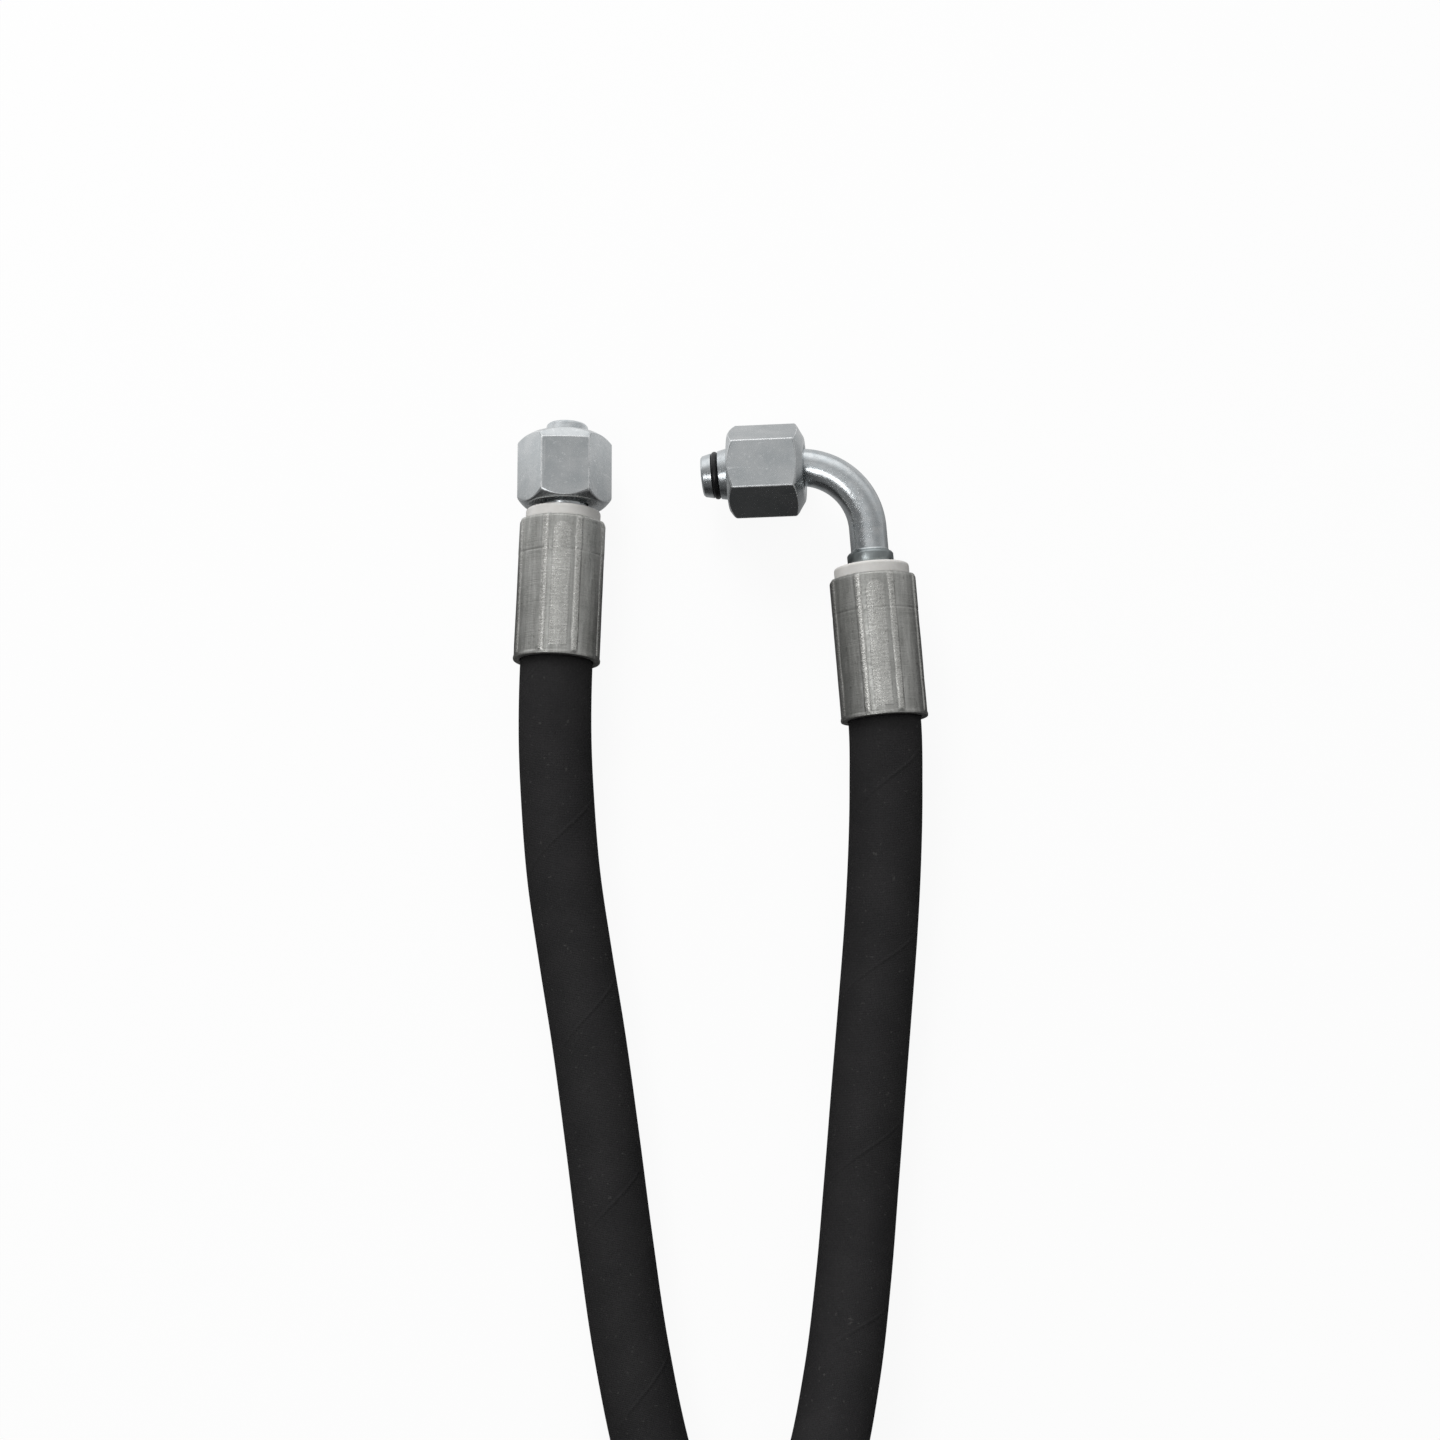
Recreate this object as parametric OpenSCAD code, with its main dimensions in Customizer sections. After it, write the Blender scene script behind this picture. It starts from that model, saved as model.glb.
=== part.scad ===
// Hydraulic hose assembly: a two-braid rubber hose between a straight and a
// 90 degree swivel fitting, both with a 24 degree cone, an O-ring and an
// M18 x 1.5 union nut. It lies on the ground plane z = 0, with the straight
// fitting along +Y. The loose middle of the hose is laid in one round loop.

/* [Hose] */
// Outside diameter of the hose
hose_od = 19.2; // [18.4:0.1:20]
// Bore of the hose
hose_bore = 9.5; // [9:0.1:9.8]
// Wall of the inner rubber tube
liner_wall = 1.75; // [1.5:0.05:2]
// Thickness of each wire braid
braid_wall = 0.65; // [0.5:0.05:0.75]
// Rubber between the two braids
separator_wall = 0.35; // [0.25:0.05:0.45]
// Wall of the rubber cover
cover_wall = 1.45; // [1.2:0.05:1.8]
// Radius of the loop, at the middle of the hose
loop_radius = 96; // [92:1:110]

/* [Crimped joint] */
// Length of the ferrule
ferrule_length = 37.8; // [36:0.5:44]
// Wall of the ferrule over its gripping teeth
ferrule_wall = 2.8; // [2.2:0.1:3.4]
// How far the ferrule squeezes the hose, on the radius
crimp_depth = 0.8; // [0.5:0.05:1]
// Depth of the teeth inside the ferrule
tooth_depth = 0.45; // [0.2:0.05:0.6]
// Spacing of the teeth in the ferrule and of the barbs on the tail
grip_pitch = 3.4; // [3:0.1:4]
// Number of crimping dies, each leaving one panel
crimp_dies = 8; // [6:1:10]
// Height of the ridge between two panels
ridge_height = 0.3; // [0.1:0.05:0.5]
// Thickness of the flange that locks the ferrule to the insert
flange_thickness = 3.5; // [2.5:0.1:5]

/* [Insert] */
// Bore through both fittings
flow_bore = 7; // [6:0.1:7.4]
// Outside diameter over the barbs of the tail
tail_od = 10; // [9.6:0.1:10.4]
// Depth of the barbs on the tail
barb_depth = 0.5; // [0.2:0.05:0.6]
// Diameter of the collar in front of the ferrule
collar_od = 12.3; // [11.8:0.1:12.6]
// Length of collar that stands out of the ferrule
collar_length = 7.2; // [5:0.1:10]
// Outside diameter of the neck and of the bent tube
neck_od = 10; // [9.4:0.1:10.6]
// Centreline radius of the 90 degree bend
bend_radius = 18.3; // [16:0.1:24]
// Straight tube between the collar and the bend
bend_leg = 6.7; // [4:0.1:12]

/* [Cone and nut] */
// Diameter of the cone at its tip
cone_tip_od = 10.9; // [10.4:0.1:11.4]
// Largest diameter of the cone
cone_od = 15.6; // [15:0.1:15.8]
// Cord thickness of the O-ring
o_ring_cord = 1.5; // [1.2:0.1:1.6]
// Distance from the cone's tip to the middle of the O-ring
o_ring_back = 3.7; // [3:0.1:4.5]
// Width across the flats of the union nuts
nut_flats = 22; // [21:0.5:24]
// Length of the straight fitting's union nut
nut_length = 19; // [17:0.1:20]
// Length of the elbow's union nut
elbow_nut_length = 20.3; // [18:0.1:22]
// Minor diameter of the nuts' M18 x 1.5 thread
thread_bore = 16.38; // [16.2:0.01:16.6]
// Depth of the thread, from a nut's front face
thread_depth = 11; // [9:0.1:12]
// Gap between the back hole of a nut and the collar, on the radius
nut_clearance = 0.25; // [0.15:0.05:0.4]
// How far the straight cone stands out of its nut
straight_cone_show = 3.2; // [1:0.1:6]
// Gap between the straight nut and its guard ring
straight_nut_gap = 1.8; // [0.5:0.1:4]
// How far the elbow's cone stands out of its nut
elbow_cone_show = 7.2; // [3:0.1:9]

/* [Guard ring] */
// Outside diameter of the plastic guard ring
guard_od = 19.9; // [18:0.1:22]
// Thickness of the guard ring
guard_thickness = 3.3; // [2:0.1:5]

/* [Pose] */
// Angle in plan between the two fittings
elbow_yaw = 6.5; // [0:0.1:8]
// Rise of the elbow fitting towards its bend
elbow_pitch = 2.8; // [0.4:0.1:4]
// Roll of the elbow about its tail, which lowers its nut to the ground
elbow_roll = 6.1; // [0:0.1:10]
// Turn of the straight fitting's ferrule about its own axis
straight_ferrule_turn = 4; // [-22:1:22]
// Turn of the elbow's ferrule about its own axis
elbow_ferrule_turn = -2; // [-22:1:22]
// Turn of the straight fitting's nut about its own axis
straight_nut_turn = 4; // [-30:1:30]
// Turn of the elbow's nut about its own axis
elbow_nut_turn = -1; // [-30:1:30]
// Lean of the straight fitting's loose nut on its neck
straight_nut_lean = -2.2; // [-2.5:0.1:2.5]
// Lean of the elbow's loose nut on its neck
elbow_nut_lean = 3.4; // [-2:0.1:3.6]

/* [Hidden] */
$fn = 96;

// Small sizes that every fitting shares
cone_half_angle = 12;
seat_gap = 0.05;          // between pieces that are pressed or clamped together
layer_gap = 0.04;         // between two layers of the hose
mouth_gap = 0.15;         // between the hose and the ferrule's mouth
edge = 0.4;               // small edge chamfer
ferrule_edge = 0.9;       // chamfer at both ends of the ferrule
mouth_length = 3;         // straight mouth of the ferrule
crimp_start = 7;          // where the full squeeze begins
hose_inset = 0.5;         // where the free hose starts, inside the mouth
tail_start = 1.5;         // end of the insert's tail, inside the mouth
cone_land = 0.5;          // short cylinder behind the cone
thread_lead = 0.8;        // lead-in chamfer of the nut's thread
face_share = 0.95;        // nut's face circle over its width across flats
nut_chamfer_angle = 30;
groove_play = 0.2;        // free width of the O-ring in its groove, each side
o_ring_proud = 0.2;       // how far the O-ring stands out of the cone
stop_width = 2;           // shoulder behind the ferrule's flange
hose_end_gap = 0.3;       // between the hose's end and that shoulder
grip_margin = 1.5;        // plain length between the last barb and the hose's end
lock_step = 0.25;         // lock groove over the neck, on the radius
nut_over_bend = 2.9;      // how far the elbow's nut hides the start of the bend
straight_lean_reach = 4.05; // from the back of the straight nut to where it leans
elbow_lean_reach = 11.6;  // the same for the elbow's nut
joint_lap = 0.1;          // how far a straight stretch of the elbow runs into its bend
joint_step = 0.05;        // of the bend's tube over the straight ones, on the radius
ridge_share = 0.8;        // height of a ridge's crest over the ferrule's end bands
past = 1;                 // how far a cut runs past the face it opens

// Radii of the free hose, layer by layer: the layers share the hose's wall in
// proportion to their own walls
hose_r = hose_od / 2;
bore_r = hose_bore / 2;
walls_sum = liner_wall + 2 * braid_wall + separator_wall + cover_wall;
wall_share = (hose_r - bore_r) / walls_sum;
layer_radii = [
    bore_r,
    bore_r + wall_share * liner_wall,
    bore_r + wall_share * (liner_wall + braid_wall),
    bore_r + wall_share * (liner_wall + braid_wall + separator_wall),
    hose_r - wall_share * cover_wall,
    hose_r
];

// Radii of the fittings
tail_r = tail_od / 2;
tail_root_r = tail_r - barb_depth;
neck_r = neck_od / 2;
flow_r = flow_bore / 2;
collar_r = collar_od / 2;
lock_r = tail_r + lock_step;
grip_r = hose_r - crimp_depth;
grip_root_r = grip_r + tooth_depth;
ferrule_r = grip_r + ferrule_wall;
panel_r = ferrule_r - ridge_height;
mouth_r = hose_r + mouth_gap;
cone_r = cone_od / 2;
cone_tip_r = cone_tip_od / 2;
nut_hole_r = collar_r + nut_clearance;
thread_r = thread_bore / 2;

// Distances along a fitting's axis, from the ferrule's mouth
flange_back = ferrule_length - flange_thickness;
stop_back = flange_back - stop_width;
hose_end = stop_back - hose_end_gap;
grip_end = hose_end - grip_margin;
grip_count = floor((grip_end - crimp_start) / grip_pitch);
ring_back = ferrule_length + seat_gap;
ring_front = ring_back + guard_thickness;
collar_front = ferrule_length + collar_length;
straight_nut_back = ring_front + straight_nut_gap;
straight_tip = straight_nut_back + nut_length + straight_cone_show;
bend_start = collar_front + bend_leg;
bend_corner = bend_start + bend_radius;

// Distances along the elbow's nose, from the corner of its two axes
elbow_nut_back = bend_radius - nut_over_bend;
elbow_tip = elbow_nut_back + elbow_nut_length + elbow_cone_show;

// Lengths of the cone
cone_length = (cone_r - cone_tip_r) / tan(cone_half_angle);
neck_to_tip = cone_length + cone_land + cone_r - neck_r;

// O-ring groove
o_ring_middle_r = cone_radius(-o_ring_back) + o_ring_proud - o_ring_cord / 2;
groove_root_r = o_ring_middle_r - o_ring_cord / 2 - seat_gap;
groove_back = o_ring_back + o_ring_cord / 2 + groove_play;
groove_front = o_ring_back - o_ring_cord / 2 - groove_play;

// Squeeze of the hose wall between the tail and the ferrule
liner_seat_r = tail_r + seat_gap;
squeeze = (grip_r - seat_gap - liner_seat_r) / (hose_r - bore_r);

// Both ferrules lie on the ground
axis_height = ferrule_r;

// Route of the hose: [x, y, lift above lying flat]. The two ends leave the
// ferrules along their axes and the loop closes the far side.
straight_mouth = [-42.7, -26.7];
elbow_mouth = [44.45, -39.2];
straight_points = [
    [-42.2, -45.7, 1.9], [-40.7, -63.7, 1.5], [-38.2, -83.7, 0.9], [-34.2, -104.7, 0.4],
    [-29.7, -126.7, 0], [-25.2, -151.7, 0], [-20.7, -177.7, 0], [-15.7, -203.7, 0],
    [-8.7, -230.7, 0], [1.3, -255.7, 0], [17.3, -278.7, 0]
];
elbow_points = [
    [45.3, -57.7, 1.3], [45.4, -75.7, 0.8], [44.9, -94.7, 0.4], [43.9, -114.7, 0.1],
    [42.7, -136.7, 0], [41.5, -159.7, 0], [40, -183.7, 2.4], [37.5, -207.7, 7.6],
    [33.1, -230.7, 13.6], [25.1, -251.7, 18.2], [13.1, -269.7, 20], [-2.3, -285.3, 18.6]
];
loop_centre = [11.3, -391.7];
loop_turn = 300;          // angle that the hose turns through in the loop
loop_steps = 24 * loop_turn / 360;
loop_start_lift = 14.3;    // height of the crossing end of the loop
loop_slope = 0.24;        // fall of the hose where it leaves the crossing
tube_sides = 12;
route_steps = 2;          // rings from one route point to the next

rubber = [0.09, 0.09, 0.095];
steel = [0.74, 0.76, 0.78];
ferrule_steel = [0.55, 0.56, 0.54];
wire = [0.72, 0.66, 0.5];
nylon = [0.86, 0.85, 0.81];

// ---------- placing ----------

// A fitting's own +Z runs from its ferrule's mouth towards its cone
module at_straight() {
    translate([straight_mouth.x, straight_mouth.y, axis_height])
        rotate([-90, 0, 0])
            children();
}

module at_elbow() {
    translate([elbow_mouth.x, elbow_mouth.y, axis_height])
        rotate([elbow_pitch - 90, 0, elbow_yaw])
            children();
}

// The elbow rolled about its tail
module rolled() {
    rotate([0, 0, -elbow_roll])
        children();
}

// A loose nut leans about a point on the neck
module leaning(angle, point) {
    translate([0, 0, point])
        rotate([0, angle, 0])
            translate([0, 0, -point])
                children();
}

// Along the elbow's nose, +Z runs from the corner towards the cone
module to_nose() {
    translate([0, 0, bend_corner])
        rotate([0, -90, 0])
            children();
}

// ---------- outlines, as [radius, distance along the axis] ----------

// Radius of the cone at a distance from its tip, negative towards the nut
function cone_radius(from_tip) = cone_tip_r - from_tip * tan(cone_half_angle);

// Barbs of the tail: each rises away from the hose's free end, then drops
function barbs(extra) = [
    for (i = [0 : grip_count - 1], p = [
        [tail_root_r, crimp_start + i * grip_pitch],
        [tail_r, crimp_start + (i + 0.7) * grip_pitch],
        [tail_r, crimp_start + (i + 0.9) * grip_pitch],
        [tail_root_r, crimp_start + (i + 0.95) * grip_pitch]
    ]) [p[0] + extra, p[1]]
];

// Teeth of the ferrule: flat crests at the grip radius, grooves between them
function teeth(extra) = [
    for (i = [0 : grip_count - 1], p = [
        [grip_r, crimp_start + i * grip_pitch],
        [grip_r, crimp_start + (i + 0.4) * grip_pitch],
        [grip_root_r, crimp_start + (i + 0.55) * grip_pitch],
        [grip_root_r, crimp_start + (i + 0.85) * grip_pitch]
    ]) [p[0] + extra, p[1]]
];

function reversed(list) = [for (i = [len(list) - 1 : -1 : 0]) list[i]];

// Radius in the crimp of a surface of the free hose
function crimped(r) = liner_seat_r + (r - bore_r) * squeeze;

// A surface between two hose layers, from the mouth to the hose's end
function layer_line(r, extra) = [
    [r + extra, hose_inset],
    [r + extra, mouth_length],
    [crimped(r) + extra, crimp_start],
    [crimped(r) + extra, hose_end]
];

// The hose's inner surface on the barbs, and its outer surface in the teeth
function bore_line() = concat(
    [[bore_r, hose_inset], [bore_r, mouth_length]],
    barbs(seat_gap),
    [[tail_root_r + seat_gap, grip_end], [tail_root_r + seat_gap, hose_end]]
);
function skin_line() = concat(
    [[hose_r, hose_inset], [hose_r, mouth_length]],
    teeth(-seat_gap),
    [[grip_r - seat_gap, grip_end], [grip_r - seat_gap, hose_end]]
);

// Outside of the insert's tail and collar
function tail_line() = concat(
    [[tail_root_r - edge, tail_start], [tail_root_r, tail_start + 2 * edge]],
    barbs(0),
    [
        [tail_root_r, grip_end],
        [tail_root_r, stop_back],
        [collar_r, stop_back],
        [collar_r, flange_back - seat_gap],
        [lock_r, flange_back - seat_gap],
        [lock_r, ferrule_length + seat_gap],
        [collar_r, ferrule_length + seat_gap],
        [collar_r, collar_front - edge],
        [collar_r - edge, collar_front],
        [neck_r, collar_front]
    ]
);

// Outside of the nose: back shoulder, cone with its O-ring groove, tip
function nose_line(tip) = [
    [neck_r, tip - neck_to_tip],
    [cone_r, tip - cone_length - cone_land],
    [cone_r, tip - cone_length],
    [cone_radius(-groove_back), tip - groove_back],
    [groove_root_r, tip - groove_back],
    [groove_root_r, tip - groove_front],
    [cone_radius(-groove_front), tip - groove_front],
    [cone_radius(-edge), tip - edge],
    [cone_tip_r - edge, tip]
];

// Solid of revolution under an outline, with a bore of radius inner
module revolved(line, inner = 0) {
    rotate_extrude()
        polygon(concat(line, [[inner, line[len(line) - 1].y], [inner, line[0].y]]));
}

// ---------- hose layers in the crimp ----------

// Layer between an inner and an outer surface line
module layer(inner, outer) {
    rotate_extrude()
        polygon(concat(inner, reversed(outer)));
}

// Sides of the hose's layer surfaces, counted from the bore outwards
function outside_of(i) = layer_line(layer_radii[i], layer_gap / 2);
function inside_of(i) = layer_line(layer_radii[i], -layer_gap / 2);

module liner() {
    color(rubber) layer(bore_line(), inside_of(1));
}

module inner_braid() {
    color(wire) layer(outside_of(1), inside_of(2));
}

module separator() {
    color(rubber) layer(outside_of(2), inside_of(3));
}

module outer_braid() {
    color(wire) layer(outside_of(3), inside_of(4));
}

module cover() {
    color(rubber) layer(outside_of(4), skin_line());
}

// ---------- fittings ----------

module ferrule() {
    color(ferrule_steel)
        difference() {
            union() {
                rotate_extrude()
                    polygon([
                        [0, 0],
                        [ferrule_r - ferrule_edge, 0],
                        [ferrule_r, ferrule_edge],
                        [ferrule_r, mouth_length],
                        [panel_r, mouth_length + 2 * ridge_height],
                        [panel_r, ferrule_length - ferrule_edge - ridge_height],
                        [panel_r - ferrule_edge, ferrule_length],
                        [0, ferrule_length]
                    ]);
                crimp_ridges();
            }
            ferrule_cavity();
        }
}

// The metal that wells up where two crimping dies meet
module crimp_ridges() {
    ridge_r = 3 * ridge_height;
    crest_r = panel_r + ridge_share * ridge_height;
    ridge_back = mouth_length - ridge_r;
    ridge_front = ferrule_length - 2 * ferrule_edge;
    for (i = [0 : crimp_dies - 1])
        rotate([0, 0, (i + 0.5) * 360 / crimp_dies])
            translate([crest_r - ridge_r, 0, ridge_back])
                cylinder(r = ridge_r, h = ridge_front - ridge_back, $fn = 24);
}

module ferrule_cavity() {
    rotate_extrude()
        polygon(concat(
            [[0, -past], [mouth_r, -past], [mouth_r, mouth_length]],
            teeth(0),
            [
                [grip_r, grip_end],
                [grip_r, flange_back],
                [lock_r + seat_gap, flange_back],
                [lock_r + seat_gap, ferrule_length + past],
                [0, ferrule_length + past]
            ]
        ));
}

module guard_ring() {
    color(nylon)
        rotate_extrude()
            polygon([
                [collar_r + seat_gap, ring_back],
                [guard_od / 2 - edge, ring_back],
                [guard_od / 2, ring_back + edge],
                [guard_od / 2, ring_front - 2 * edge],
                [guard_od / 2 - 2 * edge, ring_front],
                [collar_r + seat_gap, ring_front]
            ]);
}

module straight_insert_body() {
    color(steel)
        revolved(concat(tail_line(), nose_line(straight_tip)), flow_r);
}

module elbow_insert_body() {
    leg_end = bend_start + joint_lap;
    nose_start = bend_radius - joint_lap;
    color(steel)
        difference() {
            union() {
                revolved(concat(tail_line(), [[neck_r, leg_end]]));
                bend(neck_r + joint_step);
                to_nose()
                    revolved(concat([[neck_r, nose_start]], nose_line(elbow_tip)));
            }
            translate([0, 0, tail_start - past])
                cylinder(r = flow_r, h = leg_end - tail_start + past);
            bend(flow_r - joint_step);
            to_nose()
                translate([0, 0, nose_start])
                    cylinder(r = flow_r, h = elbow_tip - nose_start + past);
        }
}

// Quarter turn of a round bar, from the tail's axis to the nose's
module bend(r) {
    translate([-bend_radius, 0, bend_start])
        rotate([90, 0, 0])
            rotate_extrude(angle = 90)
                translate([bend_radius, 0])
                    circle(r = r);
}

module o_ring(tip) {
    color([0.05, 0.05, 0.055])
        rotate_extrude()
            translate([o_ring_middle_r, tip - o_ring_back])
                circle(r = o_ring_cord / 2, $fn = 32);
}

// Union nut of a length, with its back face at a distance along the axis. A
// sphere at each end rounds its six corners off to a circle on the face.
module nut(back, length) {
    corner_r = nut_flats / 2 / cos(30);
    face_r = face_share * nut_flats / 2;
    drop = (corner_r - face_r) * tan(nut_chamfer_angle);
    centre = (corner_r * corner_r - face_r * face_r + drop * drop) / (2 * drop);
    round_r = norm([face_r, centre]);
    color(steel)
        translate([0, 0, back])
            difference() {
                intersection() {
                    cylinder(r = corner_r, h = length, $fn = 6);
                    translate([0, 0, centre])
                        sphere(r = round_r);
                    translate([0, 0, length - centre])
                        sphere(r = round_r);
                }
                nut_cavity(length);
            }
}

module nut_cavity(length) {
    thread_back = length - thread_depth;
    hole_top = thread_back - (thread_r - nut_hole_r);
    rotate_extrude()
        polygon([
            [0, -past],
            [nut_hole_r + edge + past, -past],
            [nut_hole_r, edge],
            [nut_hole_r, hole_top],
            [thread_r, thread_back],
            [thread_r, length - thread_lead],
            [thread_r + thread_lead + past, length + past],
            [0, length + past]
        ]);
}

// ---------- free hose ----------

function unit(v) = v / norm(v);

// Point of a smooth curve between two route points with known slopes
function between(a, b, slope_a, slope_b, t) =
    (2 * t * t * t - 3 * t * t + 1) * a + (t * t * t - 2 * t * t + t) * slope_a
    + (3 * t * t - 2 * t * t * t) * b + (t * t * t - t * t) * slope_b;

// Slope of the route at one of its points, given its directions at both ends
function slope(p, i, first, last) =
    i == 0 ? first * norm(p[1] - p[0])
    : i == len(p) - 1 ? last * norm(p[i] - p[i - 1])
    : (p[i + 1] - p[i - 1]) / 2;

// Smooth line through the route's points, nowhere lower than lying flat
function smooth(p, first, last, steps) = concat(
    [
        for (i = [0 : len(p) - 2], k = [0 : steps - 1])
            grounded(between(
                p[i], p[i + 1], slope(p, i, first, last), slope(p, i + 1, first, last), k / steps))
    ],
    [p[len(p) - 1]]
);
function grounded(p) = [p.x, p.y, max(p.z, hose_r)];

// Direction of a line of points at each point, given the ends
function directions(line, first, last) = [
    for (i = [0 : len(line) - 1])
        i == 0 ? first
        : i == len(line) - 1 ? last
        : unit(unit(line[i + 1] - line[i]) + unit(line[i] - line[i - 1]))
];

// Ring of points round a centre, square to a direction, one point lowest
function ring(centre, direction, r) =
    let (side = unit(cross(direction, [0, 0, 1])), up = cross(side, direction))
    [
        for (k = [0 : tube_sides - 1])
            let (a = 360 * k / tube_sides)
            centre + r * (sin(a) * side - cos(a) * up)
    ];

// Hollow tube along a line of centres
module swept_tube(centres, ways) {
    n = len(centres);
    m = tube_sides;
    points = [
        for (r = [hose_r, bore_r], i = [0 : n - 1], p = ring(centres[i], ways[i], r)) p
    ];
    function at(wall, i, k) = (wall * n + i) * m + k % m;
    color(rubber)
        polyhedron(
            points = points,
            faces = concat(
                [
                    for (i = [0 : n - 2], k = [0 : m - 1], f = [
                        [at(0, i, k), at(0, i, k + 1), at(0, i + 1, k)],
                        [at(0, i, k + 1), at(0, i + 1, k + 1), at(0, i + 1, k)],
                        [at(1, i, k), at(1, i + 1, k), at(1, i, k + 1)],
                        [at(1, i, k + 1), at(1, i + 1, k), at(1, i + 1, k + 1)]
                    ]) f
                ],
                [
                    for (k = [0 : m - 1], f = [
                        [at(0, 0, k), at(1, 0, k), at(0, 0, k + 1)],
                        [at(0, 0, k + 1), at(1, 0, k), at(1, 0, k + 1)],
                        [at(0, n - 1, k), at(0, n - 1, k + 1), at(1, n - 1, k)],
                        [at(0, n - 1, k + 1), at(1, n - 1, k + 1), at(1, n - 1, k)]
                    ]) f
                ]
            )
        );
}

function lying(p) = [p.x, p.y, hose_r + p.z];

// Loop: one straight diameter, the turn, and one straight diameter. It falls
// from the crossing at an even slope that eases out on the ground.
loop_first_angle = 270 - loop_turn / 2;
loop_fall_left = loop_start_lift - loop_slope * hose_od;
loop_ease = 2 * loop_fall_left / loop_slope;
function loop_height(run) =
    hose_r + (run < hose_od ? loop_start_lift - loop_slope * run
        : run < hose_od + loop_ease ? loop_fall_left * pow(1 - (run - hose_od) / loop_ease, 2)
        : 0);
function on_loop(angle) = loop_centre + loop_radius * [cos(angle), sin(angle)];
function loop_way(angle) = [-sin(angle), cos(angle)];
function loop_point(i) =
    let (
        angle = loop_first_angle + loop_turn * i / loop_steps,
        run = hose_od + loop_radius * loop_turn * i / loop_steps * PI / 180,
        p = on_loop(angle)
    )
    [p.x, p.y, loop_height(run)];
loop_begin_flat = on_loop(loop_first_angle) - hose_od * loop_way(loop_first_angle);
loop_end_flat = on_loop(loop_first_angle + loop_turn)
    + hose_od * loop_way(loop_first_angle + loop_turn);
loop_begin = [loop_begin_flat.x, loop_begin_flat.y, loop_height(0)];
loop_end = [loop_end_flat.x, loop_end_flat.y, hose_r];
loop_begin_way = unit([
    loop_way(loop_first_angle).x, loop_way(loop_first_angle).y, -loop_slope
]);
loop_end_way = [
    loop_way(loop_first_angle + loop_turn).x, loop_way(loop_first_angle + loop_turn).y, 0
];
loop_line = concat([loop_begin], [for (i = [0 : loop_steps]) loop_point(i)], [loop_end]);

// Straight run: from the straight ferrule to the loop's lower end
straight_out = [0, -1, 0];
straight_line = smooth(
    concat(
        [[straight_mouth.x, straight_mouth.y, axis_height] - hose_inset * straight_out],
        [for (p = straight_points) lying(p)],
        [loop_end]
    ),
    straight_out, -loop_end_way, route_steps);

// Elbow run: from the elbow's ferrule over the straight run to the loop
elbow_out = [
    sin(elbow_yaw) * cos(elbow_pitch), -cos(elbow_yaw) * cos(elbow_pitch), -sin(elbow_pitch)
];
elbow_line = smooth(
    concat(
        [[elbow_mouth.x, elbow_mouth.y, axis_height] - hose_inset * elbow_out],
        [for (p = elbow_points) lying(p)],
        [loop_begin]
    ),
    elbow_out, loop_begin_way, route_steps);

// Least gap between two lines of the hose, measured on their points
function least_gap(a, b) = min([for (p = a, q = b) norm(p - q)]) - hose_od;
function line_length(line, i = 1) =
    i == len(line) ? 0 : norm(line[i] - line[i - 1]) + line_length(line, i + 1);
function self_gap(line, apart) = min([
    for (i = [0 : len(line) - 1], j = [0 : len(line) - 1])
        if (j - i >= apart) norm(line[i] - line[j])
]) - hose_od;

crossing_detail = 24;
fine_straight = smooth(
    concat([for (p = straight_points) lying(p)], [loop_end]),
    unit(lying(straight_points[1]) - lying(straight_points[0])), -loop_end_way, crossing_detail);
fine_elbow = smooth(
    concat([for (p = elbow_points) lying(p)], [loop_begin]),
    unit(lying(elbow_points[1]) - lying(elbow_points[0])), loop_begin_way, crossing_detail);
echo(loop_least_gap_to_itself = self_gap(loop_line, 5));
echo(least_gap_at_the_crossing = least_gap(fine_straight, fine_elbow));
echo(free_hose_length =
    line_length(straight_line) + line_length(loop_line) + line_length(elbow_line));

module hose_straight_run() {
    swept_tube(straight_line, directions(straight_line, straight_out, -loop_end_way));
}

module hose_coil() {
    swept_tube(loop_line, directions(loop_line, loop_begin_way, loop_end_way));
}

module hose_elbow_run() {
    swept_tube(elbow_line, directions(elbow_line, elbow_out, loop_begin_way));
}

// ---------- sub-parts ----------

module straight_liner() { at_straight() liner(); }
module straight_inner_braid() { at_straight() inner_braid(); }
module straight_separator() { at_straight() separator(); }
module straight_outer_braid() { at_straight() outer_braid(); }
module straight_cover() { at_straight() cover(); }
module elbow_liner() { at_elbow() liner(); }
module elbow_inner_braid() { at_elbow() inner_braid(); }
module elbow_separator() { at_elbow() separator(); }
module elbow_outer_braid() { at_elbow() outer_braid(); }
module elbow_cover() { at_elbow() cover(); }
module straight_insert() { at_straight() straight_insert_body(); }
module straight_o_ring() { at_straight() o_ring(straight_tip); }
module straight_ferrule() { at_straight() rotate([0, 0, straight_ferrule_turn]) ferrule(); }
module straight_guard_ring() { at_straight() guard_ring(); }
module elbow_insert() { at_elbow() rolled() elbow_insert_body(); }
module elbow_o_ring() { at_elbow() rolled() to_nose() o_ring(elbow_tip); }
module elbow_ferrule() { at_elbow() rotate([0, 0, elbow_ferrule_turn]) ferrule(); }
module elbow_guard_ring() { at_elbow() guard_ring(); }
module straight_nut() {
    at_straight()
        leaning(straight_nut_lean, straight_nut_back + straight_lean_reach)
            rotate([0, 0, straight_nut_turn])
                nut(straight_nut_back, nut_length);
}
module elbow_nut() {
    at_elbow()
        rolled()
            to_nose()
                leaning(elbow_nut_lean, elbow_nut_back + elbow_lean_reach)
                    rotate([0, 0, elbow_nut_turn])
                        nut(elbow_nut_back, elbow_nut_length);
}

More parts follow.
